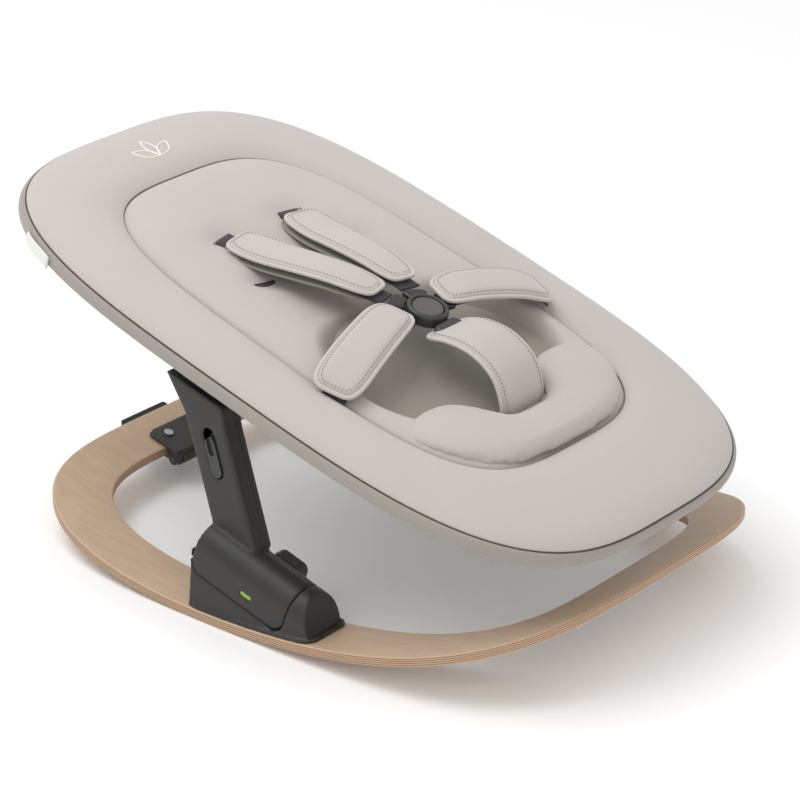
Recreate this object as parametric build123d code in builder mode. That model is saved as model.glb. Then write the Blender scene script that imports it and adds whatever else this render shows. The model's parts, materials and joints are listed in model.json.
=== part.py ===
from build123d import *

import os
from math import atan2, cos, degrees, hypot, pi, radians, sin, sqrt

# A newborn bouncer seat: a padded, tilted seat on two legs that plug into a closed
# rocker ring of bent plywood.  Millimetres, +Z up.  +X runs from the head to the feet
# and -Y is the sitter's right side.  The origin is on the floor, under the middle.

# ---------------------------------------------------------------- driving dimensions

# rocker ring
ROCKER_RADIUS = 963.0
ROCKER_CONTACT_X = -16.0
BOARD_THICKNESS = 10.0
BOARD_ARRIS = 2.0
BOARD_CENTRE_X = 24.0
BOARD_HALF_LENGTH = 327.0
BOARD_HALF_WIDTH = 240.0
BOARD_POWER = 3.85
HOLE_CENTRE_X = 26.5
HOLE_HALF_LENGTH = 277.0
HOLE_HALF_WIDTH = 180.0
HOLE_POWER = 4.4

# seat, measured along and square to its tilted plane
SEAT_TILT = 16.5
SEAT_CENTRE_X = 0.8
SEAT_HEIGHT = 242.0
SEAT_HALF_LENGTH = 370.0
SEAT_HALF_WIDTH = 223.0
SEAT_POWER = 3.5
PAD_CROWN = 18.0
PAD_EDGE_ROUND = 13.0
PAD_UNDERSIDE = -13.0
PANEL_CENTRE_U = -9.0
PANEL_HALF_LENGTH = 259.0
PANEL_HALF_WIDTH = 152.0
PANEL_HEIGHT = 9.0
RIM_BOTTOM = -21.0
RIM_WIDTH = 27.0
RIM_ROUND = 9.0
COVER_GAP = 0.3
SKIN = 2.5

# hip bowl in the seat
BOWL_CENTRE_U = 84.0
BOWL_POWER = 2.6
BOWL_LEVELS = ((10.0, 98.0, 128.0), (-16.0, 84.0, 112.0), (-42.0, 56.0, 80.0))
BOWL_WALL = 13.0

# frame tube of the seat
TUBE_RADIUS = 8.0
TUBE_HEIGHT = -9.0
TUBE_HALF_LENGTH = 354.0
TUBE_HALF_WIDTH = 209.0
TUBE_CORNER = 184.0
TUBE_WALL = 1.5

# legs
LEG_OUTER_Y = 214.0
LEG_THICKNESS = 26.0
LEG_WIDTH = 48.0
LEG_LEAN = 16.5
LEG_AXIS_X = 15.1
LEG_AXIS_Z = 50.0
LEG_TOP_H = -28.0
LEG_WALL = 3.0
AXLE_U = -32.0
AXLE_H = -50.0
AXLE_RADIUS = 11.0
AXLE_WALL = 2.0
RUNNING_GAP = 0.05

# how far a cutting solid runs past the face it cuts
OVERRUN = 5.0
CUT_SHALLOW = 10.0
CUT_MEDIUM = 20.0
CUT_DEEP = 40.0

# shoe at the foot of each leg, and the socket that takes it
SHOE_CENTRE_Y = 209.0
SHOE_RIDGE_X = -22.0
SHOE_RIDGE_Z = 95.0
SHOE_START = 2.0
SHOE_END = 120.0
SHOE_DEPTH = 47.0
ARCH_RADIUS = 25.0
ARCH_DRAFT = 2.0
ARCH_DEPTH = 120.0
SHOE_GAP = 0.4
TENON_LENGTH = 40.0
TENON_WIDTH = 20.0
TENON_DEPTH = 14.0
TENON_CENTRE_S = 46.0
TENON_ROUND = 4.0
SHOE_ROUND = 14.0
FLANGE_THICKNESS = 4.0

# controls
SLIDER_LENGTH = 48.0
SLIDER_WIDTH = 12.5
SLIDER_TRAVEL = 8.0
BUTTON_LENGTH = 36.0
BUTTON_WIDTH = 22.0
BUTTON_S = 76.0
BUTTON_N = -20.0
BUTTON_REACH = 12.0
INDICATOR_S = 71.5
INDICATOR_N = -33.5

# fold-out stand under the head bar
STAND_AXIS_X = -240.0
STAND_AXIS_Z = 29.0
STAND_BARREL = 6.8
STAND_PIN = 2.5
STAND_HALF_WIDTH = 38.0
STAND_LUG = 9.0
STAND_REACH = 70.0
STAND_PLATE = 6.0

# harness
BUCKLE_U = 56.0
BUCKLE_H = 34.0
BUCKLE_RADIUS = 21.0
BUCKLE_DEPTH = 12.0
BUCKLE_BUTTON_RADIUS = 15.5
BUCKLE_PRESS = 3.0
PAD_THICKNESS = 9.0
SHOULDER_WIDTH = 50.0
WAIST_WIDTH = 48.0
CROTCH_WIDTH = 70.0
WEBBING_WIDTH = 25.0
WEBBING_THICKNESS = 2.0

# ---------------------------------------------------------------- planes and curves

TILT = radians(SEAT_TILT)
SEAT_U = Vector(cos(TILT), 0, -sin(TILT))
SEAT_N = Vector(sin(TILT), 0, cos(TILT))
SEAT_PLANE = Plane(
    origin=(SEAT_CENTRE_X, 0, SEAT_HEIGHT), x_dir=SEAT_U, z_dir=SEAT_N
)
LEAN = radians(LEG_LEAN)
LEG_UP = Vector(-sin(LEAN), 0, cos(LEAN))
LEG_ACROSS = Vector(cos(LEAN), 0, sin(LEAN))
DOWN_Y = Vector(0, -1, 0)


def superellipse(half_length, half_width, power, centre_x=0.0, count=60):
    """Points of |x/a|^n + |y/b|^n = 1, evenly spread in polar angle."""
    points = []
    for step in range(count):
        angle = 2 * pi * step / count
        along = abs(cos(angle) / half_length) ** power
        across = abs(sin(angle) / half_width) ** power
        reach = (along + across) ** (-1 / power)
        points.append((centre_x + reach * cos(angle), reach * sin(angle)))
    return points


def seat_level(height):
    """Plane parallel to the seat plane, this far above it."""
    return SEAT_PLANE.offset(height)


def seat_point(u, v, h):
    """Point given along, across and above the seat plane."""
    return SEAT_PLANE.from_local_coords(Vector(u, v, h))


def ridge_point(s, n):
    """Point of the shoe's side view: s along its ridge, n above the ridge."""
    start = Vector(SHOE_RIDGE_X, 0, SHOE_RIDGE_Z)
    return start + SEAT_U * s + SEAT_N * n


def leg_point(across, along):
    """Point of the leg's side view, from the middle of its foot."""
    start = Vector(LEG_AXIS_X, 0, LEG_AXIS_Z)
    return start + LEG_ACROSS * across + LEG_UP * along


def board_top(x):
    """Height of the board's upper face at x."""
    inner = ROCKER_RADIUS - BOARD_THICKNESS
    return ROCKER_RADIUS - sqrt(inner**2 - (x - ROCKER_CONTACT_X) ** 2)


def board_plane(x, y, height=0.0):
    """Plane tangent to the board's upper face at (x, y), raised by height."""
    top = Vector(x, y, board_top(x))
    inward = (Vector(ROCKER_CONTACT_X, y, ROCKER_RADIUS) - top).normalized()
    return Plane(origin=top + inward * height, z_dir=inward)


def side_plane(y, origin, x_dir):
    """Plane of a side view at this y, drawn from the right-hand side."""
    return Plane(origin=(origin.X, y, origin.Z), x_dir=x_dir, z_dir=DOWN_Y)


def strap_solid(start, end, profile, thickness, start_width, end_width):
    """A flat strap over a plan line on the seat, following (distance, height) points."""
    run = hypot(end[0] - start[0], end[1] - start[1])
    turn = degrees(atan2(end[1] - start[1], end[0] - start[0]))
    foot = seat_point(start[0], start[1], 0)
    along = SEAT_U.rotate(Axis((0, 0, 0), SEAT_N), turn)
    upright = Plane(origin=foot, x_dir=along, z_dir=along.cross(SEAT_N))
    half = max(start_width, end_width) / 2
    with BuildPart() as strap:
        with BuildSketch(upright):
            with BuildLine():
                Spline(*profile)
            trace(line_width=thickness)
        extrude(amount=half, both=True)
        flat = Plane(origin=foot - SEAT_N * 100, x_dir=along, z_dir=SEAT_N)
        with BuildSketch(flat):
            with BuildLine():
                Polyline(
                    (-30, -start_width / 2),
                    (run + 30, -end_width / 2),
                    (run + 30, end_width / 2),
                    (-30, start_width / 2),
                    close=True,
                )
            make_face()
        extrude(amount=260, mode=Mode.INTERSECT)
    return strap.part


def arch_tunnel(start, end, grow=0.0):
    """The shoe's arched section, carried along its ridge from start to end."""
    foot = ridge_point(start, 0)
    section = Plane(
        origin=(foot.X, -SHOE_CENTRE_Y, foot.Z), x_dir=(0, 1, 0), z_dir=SEAT_U
    )
    radius = ARCH_RADIUS + grow
    spread = ARCH_RADIUS + ARCH_DRAFT * ARCH_DEPTH / SHOE_DEPTH + grow
    with BuildPart() as tunnel:
        with BuildSketch(section):
            with BuildLine():
                Polyline(
                    (-radius, -ARCH_RADIUS),
                    (-spread, -ARCH_DEPTH),
                    (spread, -ARCH_DEPTH),
                    (radius, -ARCH_RADIUS),
                )
                ThreePointArc((radius, -ARCH_RADIUS), (0, grow), (-radius, -ARCH_RADIUS))
            make_face()
        extrude(amount=end - start)
    return tunnel.part


def shoe_block(grow, depth):
    """The shoe's rounded side view, as wide as the leg foot and this deep."""
    middle = ridge_point((SHOE_START + SHOE_END) / 2, -depth / 2)
    with BuildPart() as block:
        with BuildSketch(side_plane(-SHOE_CENTRE_Y, middle, SEAT_U)):
            RectangleRounded(
                SHOE_END - SHOE_START + 2 * grow, depth + 2 * grow, SHOE_ROUND
            )
            with Locations((0, depth / 4)):
                Rectangle(SHOE_END - SHOE_START + 2 * grow, depth / 2 + 2 * grow)
        extrude(amount=40, both=True)
    return block.part


def bowl_shape(grow, top):
    """The hip bowl as a loft, grown outwards and downwards, up to this height."""
    with BuildPart() as bowl:
        for height, half_u, half_v in BOWL_LEVELS:
            level = top if height > 0 else height - grow
            with BuildSketch(seat_level(level)):
                with BuildLine():
                    Spline(
                        *superellipse(
                            half_u + grow, half_v + grow, BOWL_POWER, BOWL_CENTRE_U, 32
                        ),
                        periodic=True,
                    )
                make_face()
        loft()
    return bowl.part


def frame_path_solid(radius):
    """A round bar along the seat frame's rounded-rectangle centre line."""
    straight_u = TUBE_HALF_LENGTH - TUBE_CORNER
    straight_v = TUBE_HALF_WIDTH - TUBE_CORNER
    start = seat_point(0, -TUBE_HALF_WIDTH, TUBE_HEIGHT)
    with BuildPart() as bar:
        with BuildLine(seat_level(TUBE_HEIGHT)) as path:
            Line((0, -TUBE_HALF_WIDTH), (straight_u, -TUBE_HALF_WIDTH))
            CenterArc((straight_u, -straight_v), TUBE_CORNER, -90, 90)
            Line((TUBE_HALF_LENGTH, -straight_v), (TUBE_HALF_LENGTH, straight_v))
            CenterArc((straight_u, straight_v), TUBE_CORNER, 0, 90)
            Line((straight_u, TUBE_HALF_WIDTH), (-straight_u, TUBE_HALF_WIDTH))
            CenterArc((-straight_u, straight_v), TUBE_CORNER, 90, 90)
            Line((-TUBE_HALF_LENGTH, straight_v), (-TUBE_HALF_LENGTH, -straight_v))
            CenterArc((-straight_u, -straight_v), TUBE_CORNER, 180, 90)
            Line((-straight_u, -TUBE_HALF_WIDTH), (0, -TUBE_HALF_WIDTH))
        with BuildSketch(Plane(origin=start, x_dir=(0, 1, 0), z_dir=SEAT_U)):
            Circle(radius)
        sweep(path=path.wire())
    return bar.part


def superellipse_slab(half_length, half_width, power, bottom, top, centre_u=0.0):
    """A flat slab with a superellipse outline, parallel to the seat plane."""
    with BuildPart() as slab:
        with BuildSketch(seat_level(bottom)):
            with BuildLine():
                Spline(
                    *superellipse(half_length, half_width, power, centre_u),
                    periodic=True,
                )
            make_face()
        extrude(amount=top - bottom)
    return slab.part


def save(piece, label):
    """Label a finished sub-part and write its STEP file."""
    piece.part.label = label
    export_step(piece.part, f"parts/{label}.step")


os.makedirs("parts", exist_ok=True)

# ---------------------------------------------------------------- rocker ring

SCREW_RADIUS = 2.5
SCREW_HEAD_RADIUS = 5.0
SCREW_HEAD_DEPTH = 3.5
SCREW_RECESS = 5.0
SCREW_GRIP = 9.0
SOCKET_SCREW_XS = (-14.0, 92.0)
STAND_SCREW_YS = (-20.0, 20.0)
STAND_SCREW_X = -263.0

screw_places = [(x, side * SHOE_CENTRE_Y) for x in SOCKET_SCREW_XS for side in (-1, 1)]
stand_screw_places = [(STAND_SCREW_X, y) for y in STAND_SCREW_YS]

OUTLINE_EDGE_LENGTH = 600.0

# one half of the board, cut from a curved sheet; the other half mirrors it
with BuildPart() as board_half:
    with BuildSketch(Plane.XZ):
        with Locations((ROCKER_CONTACT_X, ROCKER_RADIUS)):
            Circle(ROCKER_RADIUS)
            Circle(ROCKER_RADIUS - BOARD_THICKNESS, mode=Mode.SUBTRACT)
    extrude(amount=BOARD_HALF_WIDTH + OVERRUN, both=True)
    with BuildSketch(Plane.XY.offset(-OVERRUN)):
        with BuildLine():
            Spline(
                *superellipse(
                    BOARD_HALF_LENGTH, BOARD_HALF_WIDTH, BOARD_POWER, BOARD_CENTRE_X
                ),
                periodic=True,
            )
        make_face()
        with BuildLine():
            Spline(
                *superellipse(
                    HOLE_HALF_LENGTH, HOLE_HALF_WIDTH, HOLE_POWER, HOLE_CENTRE_X
                ),
                periodic=True,
            )
        make_face(mode=Mode.SUBTRACT)
        with Locations((BOARD_CENTRE_X, -BOARD_HALF_WIDTH)):
            Rectangle(3 * BOARD_HALF_LENGTH, 2 * BOARD_HALF_WIDTH, mode=Mode.INTERSECT)
    extrude(amount=200, mode=Mode.INTERSECT)

with BuildPart() as rocker_board:
    add(board_half.part)
    add(mirror(board_half.part, about=Plane.XZ, mode=Mode.PRIVATE), clean=False)
    outline = rocker_board.edges().filter_by(lambda e: e.length > OUTLINE_EDGE_LENGTH)
    fillet(outline, radius=BOARD_ARRIS)
    for x, y in screw_places + stand_screw_places:
        with BuildSketch(board_plane(x, y)):
            Circle(SCREW_RADIUS)
        extrude(amount=BOARD_THICKNESS + OVERRUN, both=True, mode=Mode.SUBTRACT)
    for x, y in screw_places:
        with BuildSketch(board_plane(x, y, SCREW_RECESS - BOARD_THICKNESS)):
            Circle(SCREW_HEAD_RADIUS + COVER_GAP)
        extrude(amount=-20, mode=Mode.SUBTRACT)
save(rocker_board, "rocker_board")

# ---------------------------------------------------------------- foot sockets

with BuildPart() as above_board:
    with BuildSketch(Plane.XZ):
        with Locations((ROCKER_CONTACT_X, ROCKER_RADIUS)):
            Circle(ROCKER_RADIUS - BOARD_THICKNESS)
    extrude(amount=BOARD_HALF_WIDTH + 10, both=True)

with BuildPart() as flange_skin:
    with BuildSketch(Plane.XZ):
        with Locations((ROCKER_CONTACT_X, ROCKER_RADIUS)):
            Circle(ROCKER_RADIUS - BOARD_THICKNESS)
            Circle(
                ROCKER_RADIUS - BOARD_THICKNESS - FLANGE_THICKNESS, mode=Mode.SUBTRACT
            )
    extrude(amount=BOARD_HALF_WIDTH + 10, both=True)

SOCKET_BACK_X = -31.0
SOCKET_FRONT_X = 114.0
SOCKET_WALL_Z = 71.0
CHEEK_TOP = ridge_point(130.0, 4.0)
FLANGE_BACK_X = -38.0
FLANGE_FRONT_X = 121.0
FLANGE_HALF_WIDTH = 29.5
FLANGE_ROUND = 14.0

with BuildPart() as foot_socket_right:
    with BuildSketch(Plane.XZ.offset(SHOE_CENTRE_Y)):
        with BuildLine():
            Polyline(
                (SOCKET_BACK_X - 3, 5),
                (SOCKET_BACK_X, SOCKET_WALL_Z),
                (CHEEK_TOP.X, SOCKET_WALL_Z),
                (CHEEK_TOP.X, CHEEK_TOP.Z),
                (SOCKET_FRONT_X + 3, 5),
                close=True,
            )
        make_face()
    extrude(amount=40, both=True)
    add(arch_tunnel(-40, 200), mode=Mode.INTERSECT)
    add(shoe_block(SHOE_GAP, SHOE_DEPTH), mode=Mode.SUBTRACT)
    with BuildSketch(Plane.XY):
        with Locations(((FLANGE_BACK_X + FLANGE_FRONT_X) / 2, -SHOE_CENTRE_Y)):
            RectangleRounded(
                FLANGE_FRONT_X - FLANGE_BACK_X, 2 * FLANGE_HALF_WIDTH, FLANGE_ROUND
            )
    flange = extrude(amount=40, mode=Mode.PRIVATE)
    add(flange & flange_skin.part)
    add(above_board.part, mode=Mode.INTERSECT)
    tenon_foot = ridge_point(TENON_CENTRE_S, -SHOE_DEPTH - TENON_DEPTH - 2)
    with BuildSketch(
        Plane(
            origin=(tenon_foot.X, -SHOE_CENTRE_Y, tenon_foot.Z),
            x_dir=SEAT_U,
            z_dir=SEAT_N,
        )
    ):
        RectangleRounded(
            TENON_LENGTH + 2 * SHOE_GAP, TENON_WIDTH + 2 * SHOE_GAP, TENON_ROUND
        )
    extrude(amount=CUT_DEEP, mode=Mode.SUBTRACT)
    for x, y in screw_places:
        if y < 0:
            with BuildSketch(board_plane(x, y)):
                Circle(SCREW_RADIUS)
            extrude(amount=SCREW_GRIP, both=True, mode=Mode.SUBTRACT)
save(foot_socket_right, "foot_socket_right")

with BuildPart() as foot_socket_left:
    mirror(foot_socket_right.part, about=Plane.XZ)
save(foot_socket_left, "foot_socket_left")

with BuildPart() as socket_screws:
    for x, y in screw_places:
        with BuildSketch(board_plane(x, y, SCREW_RECESS - BOARD_THICKNESS)):
            Circle(SCREW_HEAD_RADIUS)
        extrude(amount=-SCREW_HEAD_DEPTH)
        with BuildSketch(board_plane(x, y, SCREW_RECESS - BOARD_THICKNESS)):
            Circle(SCREW_RADIUS)
        extrude(amount=BOARD_THICKNESS - SCREW_RECESS + SCREW_GRIP)
save(socket_screws, "socket_screws")

# ---------------------------------------------------------------- fold-out stand

BRACKET_BACK_X = -276.0
BRACKET_THICKNESS = 3.5
BRACKET_REACH_X = STAND_AXIS_X + 8.0

with BuildPart() as bracket_skin:
    with BuildSketch(Plane.XZ):
        with Locations((ROCKER_CONTACT_X, ROCKER_RADIUS)):
            Circle(ROCKER_RADIUS - BOARD_THICKNESS)
            Circle(
                ROCKER_RADIUS - BOARD_THICKNESS - BRACKET_THICKNESS, mode=Mode.SUBTRACT
            )
    extrude(amount=STAND_HALF_WIDTH + 10, both=True)

with BuildPart() as stand_bracket:
    with BuildSketch(Plane.XY):
        with Locations(((BRACKET_BACK_X + BRACKET_REACH_X) / 2, 0)):
            RectangleRounded(
                BRACKET_REACH_X - BRACKET_BACK_X, 2 * STAND_HALF_WIDTH, 7
            )
    bracket_plate = extrude(amount=80, mode=Mode.PRIVATE)
    add(bracket_plate & bracket_skin.part)
    for side in (-1, 1):
        lug_y = side * (STAND_HALF_WIDTH - STAND_LUG / 2)
        with BuildSketch(Plane.XZ.offset(-lug_y)):
            with Locations((STAND_AXIS_X, STAND_AXIS_Z)):
                Circle(STAND_BARREL)
            with Locations((STAND_AXIS_X, STAND_AXIS_Z + 5)):
                Rectangle(2 * STAND_BARREL, 10)
        extrude(amount=STAND_LUG / 2, both=True)
    with BuildSketch(Plane.XZ):
        with Locations((STAND_AXIS_X, STAND_AXIS_Z)):
            Circle(STAND_PIN)
    extrude(amount=STAND_HALF_WIDTH + 2, both=True, mode=Mode.SUBTRACT)
    for x, y in stand_screw_places:
        with BuildSketch(board_plane(x, y)):
            Circle(SCREW_RADIUS)
        extrude(amount=BRACKET_THICKNESS + 2, both=True, mode=Mode.SUBTRACT)
save(stand_bracket, "stand_bracket")

with BuildPart() as stand_pin:
    with BuildSketch(Plane.XZ):
        with Locations((STAND_AXIS_X, STAND_AXIS_Z)):
            Circle(STAND_PIN)
    extrude(amount=STAND_HALF_WIDTH, both=True)
save(stand_pin, "stand_pin")

with BuildPart() as stand_screws:
    for x, y in stand_screw_places:
        with BuildSketch(board_plane(x, y, BRACKET_THICKNESS + 0.05)):
            Circle(SCREW_HEAD_RADIUS)
        extrude(amount=2)
        with BuildSketch(board_plane(x, y, BRACKET_THICKNESS + 0.05)):
            Circle(SCREW_RADIUS)
        extrude(amount=1 - BRACKET_THICKNESS - BOARD_THICKNESS)
save(stand_screws, "stand_screws")

# the flap lies against the board's underside, on a circle about the rocker's centre
FLAP_TOP_RADIUS = ROCKER_RADIUS + 1.0
FLAP_TIP_X = STAND_AXIS_X - STAND_REACH
FLAP_HALF_WIDTH = STAND_HALF_WIDTH - STAND_LUG - 0.5
FLAP_TIP_HALF_WIDTH = 33.0
FLAP_PAD_LENGTH = 9.0

with BuildPart() as flap_shell:
    with BuildSketch(Plane.XZ):
        with Locations((ROCKER_CONTACT_X, ROCKER_RADIUS)):
            Circle(FLAP_TOP_RADIUS + STAND_PLATE)
            Circle(FLAP_TOP_RADIUS, mode=Mode.SUBTRACT)
    extrude(amount=STAND_HALF_WIDTH + 10, both=True)

with BuildPart() as stand_flap:
    with BuildSketch(Plane.XY):
        with BuildLine():
            Polyline(
                (STAND_AXIS_X, -FLAP_HALF_WIDTH),
                (FLAP_TIP_X, -FLAP_TIP_HALF_WIDTH),
                (FLAP_TIP_X, FLAP_TIP_HALF_WIDTH),
                (STAND_AXIS_X, FLAP_HALF_WIDTH),
                close=True,
            )
        make_face()
    flap_plan = extrude(amount=100, mode=Mode.PRIVATE)
    add(flap_plan & flap_shell.part)
    with BuildSketch(Plane.XZ):
        with Locations((STAND_AXIS_X, STAND_AXIS_Z)):
            Circle(STAND_BARREL)
    extrude(amount=FLAP_HALF_WIDTH, both=True)
    with BuildSketch(Plane.XZ):
        with Locations((STAND_AXIS_X, STAND_AXIS_Z)):
            Circle(STAND_PIN + RUNNING_GAP)
    extrude(amount=FLAP_HALF_WIDTH + 2, both=True, mode=Mode.SUBTRACT)
save(stand_flap, "stand_flap")

with BuildPart() as stand_foot:
    with BuildSketch(Plane.XY):
        with Locations((FLAP_TIP_X - FLAP_PAD_LENGTH / 2, 0)):
            RectangleRounded(FLAP_PAD_LENGTH, 2 * FLAP_TIP_HALF_WIDTH, 3)
    foot_plan = extrude(amount=100, mode=Mode.PRIVATE)
    add(foot_plan & flap_shell.part)
save(stand_foot, "stand_foot")

# ---------------------------------------------------------------- legs

PARTING_Y = LEG_OUTER_Y - LEG_THICKNESS / 2
INNER_FACE_Y = LEG_OUTER_Y - LEG_THICKNESS
LEG_TOP_ALONG = 215.0
LEG_HOLLOW_TOP = 148.0
LEG_SCREW_PLACES = ((16.0, 160.0), (0.0, 62.0))
LEG_SCREW_RADIUS = 2.0
LEG_SCREW_HEAD = 3.8
LEG_SCREW_SINK = 3.0
LEG_SCREW_GRIP = 7.0
LEG_BOSS_RADIUS = 6.0
AXLE = seat_point(AXLE_U, 0, AXLE_H)
HUB_EYE_RADIUS = 20.0
SLIDER_CENTRE = Vector(-18.3, 0, 166.0)

with BuildPart() as leg_solid:
    with BuildSketch(side_plane(-PARTING_Y, leg_point(0, 0), LEG_ACROSS)):
        with BuildLine():
            Polyline(
                (-LEG_WIDTH / 2, 20),
                (-LEG_WIDTH / 2, 165),
                (-LEG_WIDTH / 2 - 14, LEG_TOP_ALONG),
                (LEG_WIDTH / 2 + 10, LEG_TOP_ALONG),
                (LEG_WIDTH / 2, 150),
                (LEG_WIDTH / 2, 20),
                close=True,
            )
        make_face()
    extrude(amount=LEG_THICKNESS / 2, both=True)
    fillet(leg_solid.edges().filter_by(Plane.XZ), radius=4)
    add(shoe_block(0, SHOE_DEPTH) & arch_tunnel(-10, 160))
    with BuildSketch(seat_level(LEG_TOP_H)):
        Rectangle(900, 600)
    extrude(amount=120, mode=Mode.SUBTRACT)

with BuildPart() as leg_hollow:
    with BuildSketch(side_plane(-PARTING_Y, leg_point(0, 0), LEG_ACROSS)):
        with BuildLine():
            Polyline(
                (-LEG_WIDTH / 2 + LEG_WALL, 5),
                (-LEG_WIDTH / 2 + LEG_WALL, LEG_HOLLOW_TOP),
                (LEG_WIDTH / 2 - LEG_WALL, LEG_HOLLOW_TOP),
                (LEG_WIDTH / 2 - LEG_WALL, 25),
                close=True,
            )
        make_face()
    extrude(amount=LEG_THICKNESS / 2 - LEG_WALL, both=True)
    with BuildSketch(side_plane(-PARTING_Y, leg_point(0, 0), LEG_ACROSS)):
        with Locations(*LEG_SCREW_PLACES):
            Circle(LEG_BOSS_RADIUS)
    extrude(amount=LEG_THICKNESS, both=True, mode=Mode.SUBTRACT)
    shoe_room = ridge_point((SHOE_START + SHOE_END) / 2, -SHOE_DEPTH / 2 - 4)
    with BuildSketch(side_plane(-SHOE_CENTRE_Y, shoe_room, SEAT_U)):
        RectangleRounded(SHOE_END - SHOE_START - 2 * LEG_WALL - 4, SHOE_DEPTH - 16, 8)
    extrude(amount=ARCH_RADIUS - LEG_WALL - 4, both=True)

with BuildPart() as tenon:
    tenon_top = ridge_point(TENON_CENTRE_S, -SHOE_DEPTH)
    with BuildSketch(
        Plane(
            origin=(tenon_top.X, -SHOE_CENTRE_Y, tenon_top.Z), x_dir=SEAT_U, z_dir=SEAT_N
        )
    ):
        RectangleRounded(TENON_LENGTH, TENON_WIDTH, TENON_ROUND)
    extrude(amount=-TENON_DEPTH)

with BuildPart() as leg_screw_holes:
    with BuildSketch(
        side_plane(-PARTING_Y - LEG_SCREW_GRIP, leg_point(0, 0), LEG_ACROSS)
    ):
        with Locations(*LEG_SCREW_PLACES):
            Circle(LEG_SCREW_RADIUS)
    extrude(amount=-LEG_SCREW_GRIP - LEG_THICKNESS / 2)
    with BuildSketch(
        side_plane(-LEG_SCREW_SINK - INNER_FACE_Y, leg_point(0, 0), LEG_ACROSS)
    ):
        with Locations(*LEG_SCREW_PLACES):
            Circle(LEG_SCREW_HEAD + COVER_GAP)
    extrude(amount=-2 * LEG_SCREW_SINK)

slider_plane = Plane(
    origin=(SLIDER_CENTRE.X, -LEG_OUTER_Y, SLIDER_CENTRE.Z),
    x_dir=LEG_ACROSS,
    z_dir=DOWN_Y,
)
button_at = ridge_point(BUTTON_S, BUTTON_N)
SHOE_INNER_Y = SHOE_CENTRE_Y - ARCH_RADIUS
button_plane = Plane(
    origin=(button_at.X, -SHOE_INNER_Y, button_at.Z), x_dir=SEAT_U, z_dir=DOWN_Y
)
indicator_at = ridge_point(INDICATOR_S, INDICATOR_N)
SHOE_OUTER_Y = SHOE_CENTRE_Y + ARCH_RADIUS
indicator_plane = Plane(
    origin=(indicator_at.X, -SHOE_OUTER_Y, indicator_at.Z), x_dir=SEAT_U, z_dir=DOWN_Y
)
INDICATOR_LENGTH = 15.0
INDICATOR_HEIGHT = 4.0
INDICATOR_DEPTH = 3.0

leg_outer_half = split(
    leg_solid.part - leg_hollow.part, bisect_by=Plane.XZ.offset(PARTING_Y), keep=Keep.TOP
)
leg_inner_half = split(
    leg_solid.part - leg_hollow.part,
    bisect_by=Plane.XZ.offset(PARTING_Y),
    keep=Keep.BOTTOM,
)

with BuildPart() as leg_outer_shell_right:
    add(leg_outer_half)
    with BuildSketch(slider_plane):
        SlotOverall(SLIDER_LENGTH + 2, SLIDER_WIDTH + 1, rotation=90)
    extrude(amount=-20, mode=Mode.SUBTRACT)
    with BuildSketch(indicator_plane.offset(5)):
        SlotOverall(INDICATOR_LENGTH, INDICATOR_HEIGHT)
    extrude(amount=-5 - INDICATOR_DEPTH, mode=Mode.SUBTRACT)
    add(leg_screw_holes.part, mode=Mode.SUBTRACT)
save(leg_outer_shell_right, "leg_outer_shell_right")

with BuildPart() as leg_inner_shell_right:
    add(leg_inner_half)
    add(tenon.part)
    with BuildSketch(side_plane(-SHOE_INNER_Y + 12, AXLE, SEAT_U)):
        Circle(AXLE_RADIUS)
    extrude(amount=PARTING_Y - SHOE_INNER_Y + 12 - 3, mode=Mode.SUBTRACT)
    with BuildSketch(button_plane.offset(-12)):
        RectangleRounded(BUTTON_LENGTH + 1, BUTTON_WIDTH + 1, 8)
    extrude(amount=PARTING_Y - SHOE_INNER_Y + 12, mode=Mode.SUBTRACT)
    add(leg_screw_holes.part, mode=Mode.SUBTRACT)
save(leg_inner_shell_right, "leg_inner_shell_right")

with BuildPart() as leg_outer_shell_left:
    mirror(leg_outer_shell_right.part, about=Plane.XZ)
save(leg_outer_shell_left, "leg_outer_shell_left")

with BuildPart() as leg_inner_shell_left:
    mirror(leg_inner_shell_right.part, about=Plane.XZ)
save(leg_inner_shell_left, "leg_inner_shell_left")

with BuildPart() as leg_screws:
    with BuildSketch(
        side_plane(-PARTING_Y - LEG_SCREW_GRIP, leg_point(0, 0), LEG_ACROSS)
    ):
        with Locations(*LEG_SCREW_PLACES):
            Circle(LEG_SCREW_RADIUS)
    extrude(amount=LEG_SCREW_SINK - LEG_SCREW_GRIP - LEG_THICKNESS / 2)
    with BuildSketch(
        side_plane(-LEG_SCREW_SINK - INNER_FACE_Y, leg_point(0, 0), LEG_ACROSS)
    ):
        with Locations(*LEG_SCREW_PLACES):
            Circle(LEG_SCREW_HEAD)
    extrude(amount=1 - LEG_SCREW_SINK)
    mirror(about=Plane.XZ)
save(leg_screws, "leg_screws")

# cross tube: it ties the legs together and is the axle of the recline
with BuildPart() as cross_tube:
    with BuildSketch(Plane(origin=AXLE, x_dir=SEAT_U, z_dir=DOWN_Y)):
        Circle(AXLE_RADIUS)
        Circle(AXLE_RADIUS - AXLE_WALL, mode=Mode.SUBTRACT)
    extrude(amount=PARTING_Y - 3, both=True)
save(cross_tube, "cross_tube")

with BuildPart() as lock_indicator_right:
    with BuildSketch(indicator_plane.offset(-INDICATOR_DEPTH)):
        SlotOverall(INDICATOR_LENGTH, INDICATOR_HEIGHT)
    extrude(amount=INDICATOR_DEPTH - 0.8)
save(lock_indicator_right, "lock_indicator_right")

with BuildPart() as lock_indicator_left:
    mirror(lock_indicator_right.part, about=Plane.XZ)
save(lock_indicator_left, "lock_indicator_left")

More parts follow.
